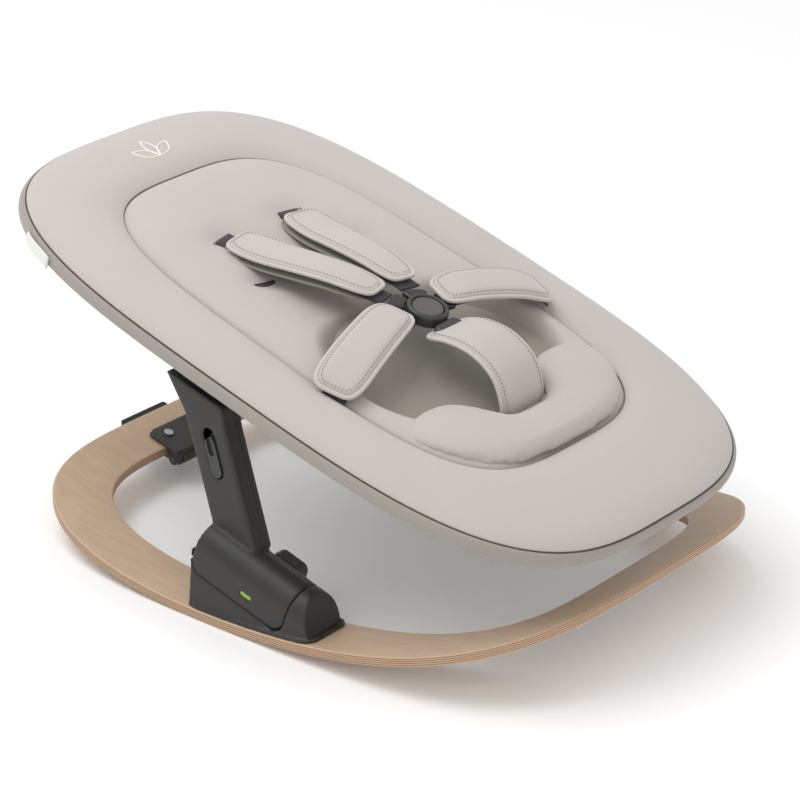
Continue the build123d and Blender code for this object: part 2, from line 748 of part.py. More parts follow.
# sliding recline catch in the outer face of each leg
SLIDER_FACE = 1.0
with BuildPart() as recline_slider_right:
    with BuildSketch(slider_plane.offset(SLIDER_FACE)):
        with Locations((0, -SLIDER_TRAVEL / 2)):
            SlotOverall(SLIDER_LENGTH - SLIDER_TRAVEL, SLIDER_WIDTH, rotation=90)
    extrude(amount=-8)
    with BuildSketch(slider_plane.offset(SLIDER_FACE)):
        with Locations((0, 8)):
            SlotOverall(20, 7, rotation=90)
    extrude(amount=-2.5, mode=Mode.SUBTRACT)
save(recline_slider_right, "recline_slider_right")

with BuildPart() as recline_slider_left:
    mirror(recline_slider_right.part, about=Plane.XZ)
save(recline_slider_left, "recline_slider_left")

# pawl behind each slider, inside the hollow leg
PAWL_LENGTH = 28.0
with BuildPart() as recline_pawl_right:
    with BuildSketch(slider_plane.offset(-7)):
        with Locations((0, 4)):
            Rectangle(8, PAWL_LENGTH)
    extrude(amount=-10)
save(recline_pawl_right, "recline_pawl_right")

with BuildPart() as recline_pawl_left:
    mirror(recline_pawl_right.part, about=Plane.XZ)
save(recline_pawl_left, "recline_pawl_left")

# push button on the inner side of each leg foot
BUTTON_BODY = 16.0
with BuildPart() as release_button_right:
    with BuildSketch(button_plane.offset(-BUTTON_REACH)):
        RectangleRounded(BUTTON_LENGTH, BUTTON_WIDTH, 8)
    extrude(amount=BUTTON_BODY)
    fillet(release_button_right.faces().sort_by(Axis.Y)[-1].edges(), radius=4)
save(release_button_right, "release_button_right")

with BuildPart() as release_button_left:
    mirror(release_button_right.part, about=Plane.XZ)
save(release_button_left, "release_button_left")

# springs behind the push buttons, drawn at their pressed length
BUTTON_TRAVEL = 4.0
SPRING_OUTER = 7.0
SPRING_WALL = 1.2
SPRING_BACK_Y = SHOE_CENTRE_Y + ARCH_RADIUS - LEG_WALL - 5.0
with BuildPart() as release_springs:
    spring_at = BUTTON_BODY - BUTTON_REACH + BUTTON_TRAVEL + COVER_GAP
    with BuildSketch(button_plane.offset(spring_at)):
        Circle(SPRING_OUTER)
        Circle(SPRING_OUTER - SPRING_WALL, mode=Mode.SUBTRACT)
    extrude(amount=SPRING_BACK_Y - SHOE_INNER_Y - spring_at)
    mirror(about=Plane.XZ)
save(release_springs, "release_springs")

# ---------------------------------------------------------------- seat structure

with BuildPart() as seat_frame_tube:
    add(frame_path_solid(TUBE_RADIUS))
    add(frame_path_solid(TUBE_RADIUS - TUBE_WALL), mode=Mode.SUBTRACT)
save(seat_frame_tube, "seat_frame_tube")

HUB_OUTER_Y = LEG_OUTER_Y - LEG_THICKNESS - 1.0
HUB_THICKNESS = 12.0
HUB_FLANGE_TOP = TUBE_HEIGHT - TUBE_RADIUS
HUB_FLANGE_BOTTOM = HUB_FLANGE_TOP - 6.0
HUB_ARM_HALF = 20.0
hub_plane = Plane(origin=(AXLE.X, -HUB_OUTER_Y, AXLE.Z), x_dir=SEAT_U, z_dir=DOWN_Y)

with BuildPart() as seat_hub_right:
    with BuildSketch(hub_plane):
        Circle(HUB_EYE_RADIUS)
        with Locations((0, (HUB_FLANGE_TOP - AXLE_H) / 2)):
            Rectangle(2 * HUB_ARM_HALF, HUB_FLANGE_TOP - AXLE_H)
        Circle(AXLE_RADIUS + RUNNING_GAP, mode=Mode.SUBTRACT)
    extrude(amount=-HUB_THICKNESS)
    with BuildSketch(seat_level(HUB_FLANGE_BOTTOM)):
        with Locations((AXLE_U, -(HUB_OUTER_Y + TUBE_HALF_WIDTH) / 2)):
            Rectangle(2 * HUB_ARM_HALF, TUBE_HALF_WIDTH - HUB_OUTER_Y + 6)
    extrude(amount=HUB_FLANGE_TOP - HUB_FLANGE_BOTTOM + 2)
    add(frame_path_solid(TUBE_RADIUS), mode=Mode.SUBTRACT)
    with BuildSketch(seat_level(HUB_FLANGE_TOP)):
        with Locations((AXLE_U, -HUB_OUTER_Y)):
            Rectangle(2 * HUB_ARM_HALF + 2, 2 * HUB_THICKNESS + 2)
    extrude(amount=CUT_MEDIUM, mode=Mode.SUBTRACT)
save(seat_hub_right, "seat_hub_right")

with BuildPart() as seat_hub_left:
    mirror(seat_hub_right.part, about=Plane.XZ)
save(seat_hub_left, "seat_hub_left")

# underside of the seat: a rolled rim round the tube and a thin sling under the pad
with BuildPart() as under_cover:
    add(superellipse_slab(SEAT_HALF_LENGTH, SEAT_HALF_WIDTH, SEAT_POWER, RIM_BOTTOM, 0))
    seat_normal = Axis(seat_point(0, 0, 0), SEAT_N)
    fillet(under_cover.faces().sort_by(seat_normal)[0].edges(), RIM_ROUND)
    add(
        superellipse_slab(
            SEAT_HALF_LENGTH - RIM_WIDTH,
            SEAT_HALF_WIDTH - RIM_WIDTH,
            SEAT_POWER,
            RIM_BOTTOM - 1,
            1,
        ),
        mode=Mode.SUBTRACT,
    )
    add(
        superellipse_slab(
            SEAT_HALF_LENGTH - RIM_WIDTH + 1,
            SEAT_HALF_WIDTH - RIM_WIDTH + 1,
            SEAT_POWER,
            PAD_UNDERSIDE - COVER_GAP - SKIN,
            PAD_UNDERSIDE - COVER_GAP,
        )
    )
    add(bowl_shape(BOWL_WALL + COVER_GAP + SKIN, PAD_UNDERSIDE - COVER_GAP))
    add(bowl_shape(BOWL_WALL + COVER_GAP, 0), mode=Mode.SUBTRACT)
    add(frame_path_solid(TUBE_RADIUS), mode=Mode.SUBTRACT)
    with BuildSketch(seat_level(RIM_BOTTOM - 1)):
        for side in (-1, 1):
            with Locations((AXLE_U, side * (HUB_OUTER_Y + TUBE_HALF_WIDTH) / 2)):
                Rectangle(2 * HUB_ARM_HALF + 1, TUBE_HALF_WIDTH - HUB_OUTER_Y + 8)
    extrude(amount=HUB_FLANGE_TOP + 3.5 - RIM_BOTTOM, mode=Mode.SUBTRACT)
save(under_cover, "under_cover")

with BuildPart() as seat_pad:
    add(superellipse_slab(SEAT_HALF_LENGTH, SEAT_HALF_WIDTH, SEAT_POWER, 0, PAD_CROWN))
    fillet(seat_pad.faces().sort_by(seat_normal)[-1].edges(), PAD_EDGE_ROUND)
    add(
        superellipse_slab(
            SEAT_HALF_LENGTH - RIM_WIDTH - COVER_GAP,
            SEAT_HALF_WIDTH - RIM_WIDTH - COVER_GAP,
            SEAT_POWER,
            PAD_UNDERSIDE,
            1,
        )
    )
    add(bowl_shape(BOWL_WALL, 0))
    add(
        superellipse_slab(
            PANEL_HALF_LENGTH,
            PANEL_HALF_WIDTH,
            SEAT_POWER,
            PANEL_HEIGHT,
            PAD_CROWN + 1,
            PANEL_CENTRE_U,
        ),
        mode=Mode.SUBTRACT,
    )
    add(bowl_shape(0, PANEL_HEIGHT + 1), mode=Mode.SUBTRACT)
    add(frame_path_solid(TUBE_RADIUS + COVER_GAP), mode=Mode.SUBTRACT)
save(seat_pad, "seat_pad")

# ---------------------------------------------------------------- loose pads and label

LEG_REST_START_U = 136.0
LEG_REST_END_U = 242.0
LEG_REST_HALF_WIDTH = 134.0
LEG_REST_TOP = 23.0
PAD_LIFT = 0.3
CROTCH_SLOT_U = 184.0

with BuildPart() as leg_rest_pad:
    with BuildSketch(seat_level(PANEL_HEIGHT + PAD_LIFT)):
        with BuildLine():
            Polyline(
                (LEG_REST_END_U - 30, -LEG_REST_HALF_WIDTH + 26),
                (LEG_REST_START_U + 26, -LEG_REST_HALF_WIDTH),
                (LEG_REST_START_U, -LEG_REST_HALF_WIDTH + 20),
                (CROTCH_SLOT_U - 13, -CROTCH_WIDTH / 2 - 4),
                (CROTCH_SLOT_U + 11, -CROTCH_WIDTH / 2 - 4),
                (CROTCH_SLOT_U + 11, CROTCH_WIDTH / 2 + 4),
                (CROTCH_SLOT_U - 13, CROTCH_WIDTH / 2 + 4),
                (LEG_REST_START_U, LEG_REST_HALF_WIDTH - 20),
                (LEG_REST_START_U + 26, LEG_REST_HALF_WIDTH),
                (LEG_REST_END_U - 30, LEG_REST_HALF_WIDTH - 26),
                (LEG_REST_END_U - 6, 40),
                (LEG_REST_END_U - 6, -40),
                close=True,
            )
        make_face()
    extrude(amount=LEG_REST_TOP - PANEL_HEIGHT - PAD_LIFT)
save(leg_rest_pad, "leg_rest_pad")

LABEL_U = -262.0
LABEL_LENGTH = 44.0
LABEL_DROP = 8.0
with BuildPart() as label_tab:
    label_foot = seat_point(LABEL_U, 0, -12)
    with BuildSketch(Plane(origin=label_foot, x_dir=SEAT_U, z_dir=SEAT_N)):
        with Locations((0, -SEAT_HALF_WIDTH + 12)):
            Rectangle(LABEL_LENGTH, 1.6)
    extrude(amount=LABEL_DROP)
save(label_tab, "label_tab")

# ---------------------------------------------------------------- harness

BUCKLE_TOP = BUCKLE_H + BUCKLE_DEPTH
BUCKLE_TAIL_DEPTH = 7.0
BUCKLE_TAIL_LENGTH = 36.0
BUCKLE_TAIL_NECK = 17.0
BUCKLE_TAIL_END = 20.0
BUCKLE_WELL = 7.0
SPRING_RADIUS = 7.0
BUCKLE_SPRING_HEIGHT = 0.25
TONGUE_THICKNESS = 7.0
TONGUE_OUTER_RADIUS = 37.0
TONGUE_GAP = 0.3
WEDGE_REACH = 60.0
TONGUE_HALF_TURN = 25.0
SHOULDER_TONGUE_TURN = 152.0
WAIST_TONGUE_TURN = 96.0

with BuildPart() as buckle_housing:
    with BuildSketch(seat_level(BUCKLE_H)):
        with Locations((BUCKLE_U, 0)):
            Circle(BUCKLE_RADIUS)
        with BuildLine():
            Polyline(
                (BUCKLE_U, -BUCKLE_TAIL_NECK),
                (BUCKLE_U + BUCKLE_TAIL_LENGTH, -BUCKLE_TAIL_END),
                (BUCKLE_U + BUCKLE_TAIL_LENGTH, BUCKLE_TAIL_END),
                (BUCKLE_U, BUCKLE_TAIL_NECK),
                close=True,
            )
        make_face()
    extrude(amount=BUCKLE_TAIL_DEPTH)
    with BuildSketch(seat_level(BUCKLE_H)):
        with Locations((BUCKLE_U, 0)):
            Circle(BUCKLE_RADIUS)
    extrude(amount=BUCKLE_DEPTH)
    with BuildSketch(seat_level(BUCKLE_TOP - BUCKLE_WELL)):
        with Locations((BUCKLE_U, 0)):
            Circle(BUCKLE_BUTTON_RADIUS + TONGUE_GAP)
    extrude(amount=CUT_SHALLOW, mode=Mode.SUBTRACT)
save(buckle_housing, "buckle_housing")

with BuildPart() as buckle_button:
    with BuildSketch(seat_level(BUCKLE_TOP - BUCKLE_WELL + BUCKLE_PRESS + COVER_GAP)):
        with Locations((BUCKLE_U, 0)):
            Circle(BUCKLE_BUTTON_RADIUS)
    extrude(amount=BUCKLE_WELL - BUCKLE_PRESS)
save(buckle_button, "buckle_button")

with BuildPart() as buckle_spring:
    with BuildSketch(seat_level(BUCKLE_TOP - BUCKLE_WELL)):
        with Locations((BUCKLE_U, 0)):
            Circle(SPRING_RADIUS)
            Circle(SPRING_RADIUS - 2, mode=Mode.SUBTRACT)
    extrude(amount=BUCKLE_SPRING_HEIGHT)
save(buckle_spring, "buckle_spring")

# the four tongues stand round the hub: two towards the shoulders, two to the hips
for name, turn in (
    ("tongue_shoulder_right", -SHOULDER_TONGUE_TURN),
    ("tongue_shoulder_left", SHOULDER_TONGUE_TURN),
    ("tongue_waist_right", -WAIST_TONGUE_TURN),
    ("tongue_waist_left", WAIST_TONGUE_TURN),
):
    edges = [radians(turn - TONGUE_HALF_TURN), radians(turn + TONGUE_HALF_TURN)]
    wedge = [
        (BUCKLE_U + WEDGE_REACH * cos(angle), WEDGE_REACH * sin(angle))
        for angle in edges
    ]
    with BuildPart() as tongue:
        with BuildSketch(seat_level(BUCKLE_H)):
            with BuildLine():
                Polyline((BUCKLE_U, 0), *wedge, close=True)
            make_face()
            with Locations((BUCKLE_U, 0)):
                Circle(TONGUE_OUTER_RADIUS, mode=Mode.INTERSECT)
                Circle(BUCKLE_RADIUS + TONGUE_GAP, mode=Mode.SUBTRACT)
        extrude(amount=TONGUE_THICKNESS)
    save(tongue, name)

SHOULDER_PAD_PROFILE = ((0, 17), (40, 22), (80, 31), (120, 39), (162, 43))
SHOULDER_WEB_PROFILE = (
    (0, 10.3),
    (16, 10.8),
    (54, 15.3),
    (94, 24.4),
    (134, 32.4),
    (176, 36.6),
    (186, 37.3),
)
WAIST_PAD_PROFILE = ((0, 47), (30, 47), (80, 41), (132, 36.5))
WAIST_WEB_PROFILE = ((0, 38), (28, 39), (66, 34), (98, 22), (111, 11))
CROTCH_PAD_PROFILE = ((0, 46), (32, 50), (68, 44), (94, 28), (102, 15))
CROTCH_WEB_PROFILE = ((0, 38.5), (18, 43), (50, 37.5), (74, 25), (82, 14.5))

# where each strap runs in plan, from its outer end to the buckle, for the left side
SHOULDER_PAD_LINE = ((-150, 46), (10, 20))
SHOULDER_WEB_LINE = ((-164, 48.3), (20, 18.4))
WAIST_PAD_LINE = ((50, 34), (92, 160))
WAIST_WEB_LINE = ((52.3, 41), (87.7, 147.3))
CROTCH_PAD_LINE = ((82, 0), (184, 0))
CROTCH_WEB_LINE = ((94, 0), (176, 0))
SHOULDER_TAPER = 12.0
CROTCH_TAPER = 4.0


def harness_pad(line, side, profile, start_width, end_width):
    """A harness pad along its plan line, on the right (-1) or the left (1)."""
    start, end = [(u, side * v) for u, v in line]
    return strap_solid(start, end, profile, PAD_THICKNESS, start_width, end_width)


def harness_webbing(line, side, profile):
    """The webbing under a harness pad, along its plan line."""
    start, end = [(u, side * v) for u, v in line]
    return strap_solid(
        start, end, profile, WEBBING_THICKNESS, WEBBING_WIDTH, WEBBING_WIDTH
    )


for side, suffix in ((-1, "right"), (1, "left")):
    with BuildPart() as shoulder_pad:
        add(
            harness_pad(
                SHOULDER_PAD_LINE,
                side,
                SHOULDER_PAD_PROFILE,
                SHOULDER_WIDTH,
                SHOULDER_WIDTH - SHOULDER_TAPER,
            )
        )
    save(shoulder_pad, f"shoulder_pad_{suffix}")

    with BuildPart() as shoulder_webbing:
        add(harness_webbing(SHOULDER_WEB_LINE, side, SHOULDER_WEB_PROFILE))
    save(shoulder_webbing, f"shoulder_webbing_{suffix}")

    with BuildPart() as waist_pad:
        add(harness_pad(WAIST_PAD_LINE, side, WAIST_PAD_PROFILE, WAIST_WIDTH, WAIST_WIDTH))
    save(waist_pad, f"waist_pad_{suffix}")

    with BuildPart() as waist_webbing:
        add(harness_webbing(WAIST_WEB_LINE, side, WAIST_WEB_PROFILE))
    save(waist_webbing, f"waist_webbing_{suffix}")

with BuildPart() as crotch_pad:
    add(
        harness_pad(
            CROTCH_PAD_LINE,
            1,
            CROTCH_PAD_PROFILE,
            CROTCH_WIDTH - CROTCH_TAPER,
            CROTCH_WIDTH,
        )
    )
save(crotch_pad, "crotch_pad")

with BuildPart() as crotch_webbing:
    add(harness_webbing(CROTCH_WEB_LINE, 1, CROTCH_WEB_PROFILE))
save(crotch_webbing, "crotch_webbing")
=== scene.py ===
"""A newborn bouncer seat: the looks of its soft goods, plastics and plywood rocker.

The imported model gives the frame.  Each sub-assembly below is a class that holds its sizes
in millimetres, builds its surfaces with numpy and dresses them.  Everything is written to
the meshes in metres.
"""

import json
import logging
from dataclasses import dataclass, field
from enum import Enum
from typing import Callable, Sequence

import bmesh
import bpy
import numpy as np
from mathutils import Matrix, Vector


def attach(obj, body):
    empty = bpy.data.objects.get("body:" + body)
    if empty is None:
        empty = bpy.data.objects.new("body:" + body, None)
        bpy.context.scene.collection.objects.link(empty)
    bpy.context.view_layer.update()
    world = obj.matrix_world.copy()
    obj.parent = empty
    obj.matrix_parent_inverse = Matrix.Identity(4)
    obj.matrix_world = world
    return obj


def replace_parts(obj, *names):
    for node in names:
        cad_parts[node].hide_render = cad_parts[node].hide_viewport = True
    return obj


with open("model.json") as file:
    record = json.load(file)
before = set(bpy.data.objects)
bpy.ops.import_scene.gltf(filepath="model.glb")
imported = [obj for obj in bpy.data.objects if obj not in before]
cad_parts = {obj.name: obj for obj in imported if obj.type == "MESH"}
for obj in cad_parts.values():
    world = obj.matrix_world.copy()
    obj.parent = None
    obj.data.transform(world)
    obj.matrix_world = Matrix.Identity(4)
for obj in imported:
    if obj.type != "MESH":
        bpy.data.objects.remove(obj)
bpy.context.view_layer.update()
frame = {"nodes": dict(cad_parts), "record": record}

log = logging.getLogger("bouncer_seat")
MM = 0.001
Array = np.ndarray
Colour = tuple[float, float, float]


class Body(Enum):
    """The bodies that pieces ride on."""

    ROCKER = "rocker"
    LEGS = "leg_frame"
    SEAT = "seat"
    BUCKLE_BUTTON = "buckle_press"


# ---------------------------------------------------------------- finishes


def linear(colour: Colour) -> tuple[float, float, float, float]:
    """A display colour as the linear colour that shaders take.

    Args:
        colour: red, green and blue from 0 to 1, as a screen shows them.

    Returns:
        Linear red, green and blue, with an alpha of 1.
    """
    c = np.asarray(colour, float)
    flat = np.where(c <= 0.04045, c / 12.92, ((c + 0.055) / 1.055) ** 2.4)
    return (float(flat[0]), float(flat[1]), float(flat[2]), 1.0)


class Nodes:
    """A short hand for wiring one material's node tree."""

    def __init__(self, name: str) -> None:
        """Starts an empty material with a shader and an output."""
        self.material = bpy.data.materials.new(name)
        self.material.use_nodes = True
        self.tree = self.material.node_tree
        self.shader = self.tree.nodes["Principled BSDF"]
        self.place = self.add("ShaderNodeTexCoord").outputs["Object"]

    def add(self, kind: str, **values: object) -> bpy.types.Node:
        """Adds a node and sets its properties."""
        node = self.tree.nodes.new(kind)
        for key, value in values.items():
            setattr(node, key, value)
        return node

    def link(self, source: bpy.types.NodeSocket, target: bpy.types.NodeSocket) -> None:
        """Joins two sockets."""
        self.tree.links.new(source, target)

    def noise(self, scale: float, detail: float, stretch: Colour = (1, 1, 1)) -> bpy.types.NodeSocket:
        """Noise on the object's own coordinates.

        Args:
            scale: features per metre, roughly.
            detail: octaves of finer noise.
            stretch: how much closer the features lie along X, Y and Z.

        Returns:
            The noise's value socket.
        """
        mapping = self.add("ShaderNodeMapping")
        mapping.inputs["Scale"].default_value = stretch
        self.link(self.place, mapping.inputs["Vector"])
        noise = self.add("ShaderNodeTexNoise")
        noise.inputs["Scale"].default_value = scale
        noise.inputs["Detail"].default_value = detail
        self.link(mapping.outputs["Vector"], noise.inputs["Vector"])
        return noise.outputs["Fac"]

    def math(self, operation: str, a: object, b: object = 0.5) -> bpy.types.NodeSocket:
        """A maths node on two values or sockets."""
        node = self.add("ShaderNodeMath", operation=operation)
        for socket, value in zip(node.inputs, (a, b)):
            if isinstance(value, (int, float)):
                socket.default_value = value
            else:
                self.link(value, socket)
        return node.outputs[0]

    def mix(self, share: bpy.types.NodeSocket, low: Colour, high: Colour) -> bpy.types.NodeSocket:
        """A colour between two, by the value of a socket."""
        ramp = self.add("ShaderNodeValToRGB")
        ramp.color_ramp.elements[0].color = linear(low)
        ramp.color_ramp.elements[1].color = linear(high)
        self.link(share, ramp.inputs["Fac"])
        return ramp.outputs["Color"]

    def bump(self, height: bpy.types.NodeSocket, distance: float, strength: float) -> None:
        """Adds a bump of this depth in metres to the shader."""
        node = self.add("ShaderNodeBump")
        node.inputs["Distance"].default_value = distance
        node.inputs["Strength"].default_value = strength
        self.link(height, node.inputs["Height"])
        self.link(node.outputs["Normal"], self.shader.inputs["Normal"])


def shifted(colour: Colour, amount: float) -> Colour:
    """The colour made lighter or darker by a share of itself."""
    return tuple(min(1.0, max(0.0, c * (1 + amount))) for c in colour)


@dataclass(frozen=True)
class FabricFinish:
    """Fine jersey or canvas with a weave, a melange and a soft nap."""

    name: str
    colour: Colour
    variation: float = 0.03
    threads: float = 1500.0
    depth: float = 0.00022
    sheen: float = 0.25
    lining: Colour | None = None

    def build(self) -> bpy.types.Material:
        """Makes the material: two crossed thread waves, a melange and slow unevenness."""
        n = Nodes(self.name)
        n.shader.inputs["Roughness"].default_value = 0.88
        n.shader.inputs["Sheen Weight"].default_value = self.sheen
        n.shader.inputs["Sheen Roughness"].default_value = 0.5
        n.shader.inputs["Specular IOR Level"].default_value = 0.25
        fine = n.noise(900.0, 3.0)
        slow = n.noise(14.0, 2.0)
        blend = n.math("ADD", n.math("MULTIPLY", fine, 0.6), n.math("MULTIPLY", slow, 0.4))
        colour = n.mix(blend, shifted(self.colour, -self.variation), shifted(self.colour, self.variation))
        if self.lining is not None:
            colour = self.blend_lining(n, colour)
        n.link(colour, n.shader.inputs["Base Color"])
        split = n.add("ShaderNodeSeparateXYZ")
        n.link(n.place, split.inputs[0])
        warp = n.math("SINE", n.math("MULTIPLY", split.outputs["X"], self.threads * 2))
        weft = n.math("SINE", n.math("MULTIPLY", split.outputs["Y"], self.threads * 2))
        weave = n.math("MULTIPLY", warp, weft)
        n.bump(n.math("ADD", n.math("MULTIPLY", weave, 0.35), fine), self.depth, 0.35)
        return n.material


    def blend_lining(self, n: Nodes, colour: bpy.types.NodeSocket) -> bpy.types.NodeSocket:
        """Mixes in the lining's colour by the mesh's own attribute."""
        share = n.add("ShaderNodeAttribute", attribute_name="lining")
        mix = n.add("ShaderNodeMix", data_type="RGBA")
        n.link(share.outputs["Fac"], mix.inputs["Factor"])
        n.link(colour, mix.inputs["A"])
        mix.inputs["B"].default_value = linear(self.lining)
        return mix.outputs["Result"]


@dataclass(frozen=True)
class WebbingFinish:
    """Herringbone webbing that follows the strap's own UV map, in millimetres."""

    name: str
    colour: Colour

    def build(self) -> bpy.types.Material:
        """Makes the material: ribs across the strap, turned each way from its middle."""
        n = Nodes(self.name)
        n.shader.inputs["Roughness"].default_value = 0.62
        n.shader.inputs["Sheen Weight"].default_value = 0.15
        uv = n.add("ShaderNodeTexCoord").outputs["UV"]
        split = n.add("ShaderNodeSeparateXYZ")
        n.link(uv, split.inputs[0])
        slope = n.math("ABSOLUTE", split.outputs["Y"])
        phase = n.math("MULTIPLY", n.math("ADD", split.outputs["X"], slope), 4.5)
        ribs = n.math("SINE", phase)
        half = n.math("ADD", n.math("MULTIPLY", ribs, 0.5), 0.5)
        n.link(
            n.mix(half, shifted(self.colour, -0.25), shifted(self.colour, 0.3)),
            n.shader.inputs["Base Color"],
        )
        n.bump(half, 0.0003, 0.7)
        return n.material


@dataclass(frozen=True)
class PlasticFinish:
    """Moulded plastic with a fine spark-eroded grain."""

    name: str
    colour: Colour
    roughness: float = 0.5
    grain: float = 0.00006

    def build(self) -> bpy.types.Material:
        """Makes the material: even colour, a fine grain and slightly uneven gloss."""
        n = Nodes(self.name)
        slow = n.noise(30.0, 2.0)
        n.link(
            n.mix(slow, shifted(self.colour, -0.05), shifted(self.colour, 0.06)),
            n.shader.inputs["Base Color"],
        )
        rough = n.math("ADD", n.math("MULTIPLY", slow, 0.1), self.roughness - 0.05)
        n.link(rough, n.shader.inputs["Roughness"])
        n.bump(n.noise(2600.0, 2.0), self.grain, 0.5)
        return n.material


@dataclass(frozen=True)
class MetalFinish:
    """Steel, bare or powder coated."""

    name: str
    colour: Colour
    metallic: float = 1.0
    roughness: float = 0.3

    def build(self) -> bpy.types.Material:
        """Makes the material: fine drawn lines in the gloss and the surface."""
        n = Nodes(self.name)
        n.shader.inputs["Metallic"].default_value = self.metallic
        lines = n.noise(400.0, 3.0, (0.2, 4.0, 0.2))
        n.link(n.mix(lines, shifted(self.colour, -0.1), self.colour), n.shader.inputs["Base Color"])
        rough = n.math("ADD", n.math("MULTIPLY", lines, 0.2), self.roughness)
        n.link(rough, n.shader.inputs["Roughness"])
        n.bump(lines, 0.00003, 0.4)
        return n.material


@dataclass(frozen=True)
class PlywoodFinish:
    """Bent birch plywood: grain along the ring on its faces, plies on its edges."""

    name: str
    face: Colour
    edge: Colour
    glue: Colour
    radius: float
    contact_x: float
    thickness: float
    plies: int = 5

    def build(self) -> bpy.types.Material:
        """Makes the material.

        The depth into the board is the radius less the distance from the rocker's axis, so the
        plies follow the bend.  They show where the surface stands square to the layers.
        """
        n = Nodes(self.name)
        n.shader.inputs["Roughness"].default_value = 0.48
        split = n.add("ShaderNodeSeparateXYZ")
        n.link(n.place, split.inputs[0])
        along = n.math("SUBTRACT", split.outputs["X"], self.contact_x)
        rise = n.math("SUBTRACT", split.outputs["Z"], self.radius)
        square = n.math("ADD", n.math("MULTIPLY", along, along), n.math("MULTIPLY", rise, rise))
        distance = n.math("SQRT", square, 0.0)
        depth = n.math("DIVIDE", n.math("SUBTRACT", self.radius, distance), self.thickness)
        layer = n.math("FRACT", n.math("MULTIPLY", depth, float(self.plies)), 0.0)
        plies = n.add("ShaderNodeValToRGB")
        ramp = plies.color_ramp
        ramp.elements[0].color = linear(self.glue)
        ramp.elements[1].color = linear(self.edge)
        ramp.elements[0].position = 0.2
        ramp.elements[1].position = 0.36
        n.link(layer, plies.inputs["Fac"])
        grain = n.noise(26.0, 6.0, (0.35, 5.0, 5.0))
        pores = n.noise(260.0, 4.0, (0.08, 4.0, 4.0))
        both = n.math("ADD", n.math("MULTIPLY", grain, 0.65), n.math("MULTIPLY", pores, 0.35))
        faces = n.mix(both, shifted(self.face, -0.13), shifted(self.face, 0.1))
        normal = n.add("ShaderNodeNewGeometry").outputs["Normal"]
        axis = n.add("ShaderNodeCombineXYZ")
        n.link(n.math("DIVIDE", along, distance), axis.inputs["X"])
        n.link(n.math("DIVIDE", rise, distance), axis.inputs["Z"])
        dot = n.add("ShaderNodeVectorMath", operation="DOT_PRODUCT")
        n.link(normal, dot.inputs[0])
        n.link(axis.outputs[0], dot.inputs[1])
        facing = n.math("ABSOLUTE", dot.outputs["Value"], 0.0)
        edge = n.add("ShaderNodeMapRange")
        edge.inputs["From Min"].default_value = 0.55
        edge.inputs["From Max"].default_value = 0.8
        edge.inputs["To Min"].default_value = 1.0
        edge.inputs["To Max"].default_value = 0.0
        n.link(facing, edge.inputs["Value"])
        mix = n.add("ShaderNodeMix", data_type="RGBA")
        n.link(edge.outputs[0], mix.inputs["Factor"])
        n.link(faces, mix.inputs["A"])
        n.link(plies.outputs["Color"], mix.inputs["B"])
        n.link(mix.outputs["Result"], n.shader.inputs["Base Color"])
        n.bump(both, 0.00012, 0.3)
        return n.material


# ---------------------------------------------------------------- mesh helpers


def make_piece(name: str, points: Array, faces: Sequence, material: bpy.types.Material) -> bpy.types.Object:
    """A smooth-shaded mesh object at the origin.

    Args:
        name: the piece's name.
        points: (count, 3) places in metres.
        faces: index lists, three or four to a face.
        material: its finish.

    Returns:
        The object, with its normals facing outwards.
    """
    mesh = bpy.data.meshes.new(name)
    mesh.from_pydata(points.tolist(), [], [list(f) for f in faces])
    mesh.update()
    work = bmesh.new()
    work.from_mesh(mesh)
    bmesh.ops.recalc_face_normals(work, faces=work.faces)
    work.to_mesh(mesh)
    work.free()
    mesh.shade_smooth()
    mesh.materials.append(material)
    piece = bpy.data.objects.new(name, mesh)
    bpy.context.scene.collection.objects.link(piece)
    return piece


def ring_faces(rows: int, columns: int) -> Array:
    """Quads between closed rings of points that follow each other."""
    i, j = np.meshgrid(np.arange(rows - 1), np.arange(columns), indexing="ij")
    k = (j + 1) % columns
    here, below = i * columns, (i + 1) * columns
    return np.stack([here + j, here + k, below + k, below + j], -1).reshape(-1, 4)


def closed_skin(
    name: str, rings: Array, first: Array, last: Array, material: bpy.types.Material
) -> bpy.types.Object:
    """A closed surface of rings with a single point at each end.

    Args:
        name: the piece's name.
        rings: (rows, columns, 3) places in metres, each row a closed ring.
        first: the point that closes the first ring.
        last: the point that closes the last ring.
        material: its finish.

    Returns:
        The object.
    """
    rows, columns = rings.shape[:2]
    points = np.concatenate([rings.reshape(-1, 3), [first], [last]])
    here = np.arange(columns)
    after = (here + 1) % columns
    top = np.stack([np.full(columns, rows * columns), after, here], -1)
    start = (rows - 1) * columns
    bottom = np.stack([np.full(columns, rows * columns + 1), start + here, start + after], -1)
    faces = ring_faces(rows, columns).tolist() + top.tolist() + bottom.tolist()
    return make_piece(name, points, faces, material)


def tube(
    name: str, path: Array, radius: float, material: bpy.types.Material, sides: int = 8
) -> bpy.types.Object:
    """A round cord along a path that joins its own start.

    Each ring stands square to the path's direction, on a pair of axes made from that direction
    and the vertical.

    Args:
        name: the piece's name.
        path: (count, 3) places in metres.
        radius: in metres.
        material: its finish.
        sides: faces round the cord.

    Returns:
        The object.
    """
    run = np.roll(path, -1, 0) - np.roll(path, 1, 0)
    run /= np.linalg.norm(run, axis=1, keepdims=True)
    side = np.cross(run, [0.02, 0.01, 1.0])
    side /= np.linalg.norm(side, axis=1, keepdims=True)
    up = np.cross(side, run)
    turn = np.linspace(0, 2 * np.pi, sides, endpoint=False)[None, :, None]
    rings = path[:, None] + radius * (np.cos(turn) * side[:, None] + np.sin(turn) * up[:, None])
    faces = ring_faces(len(path) + 1, sides) % (len(path) * sides)
    return make_piece(name, rings.reshape(-1, 3), faces, material)


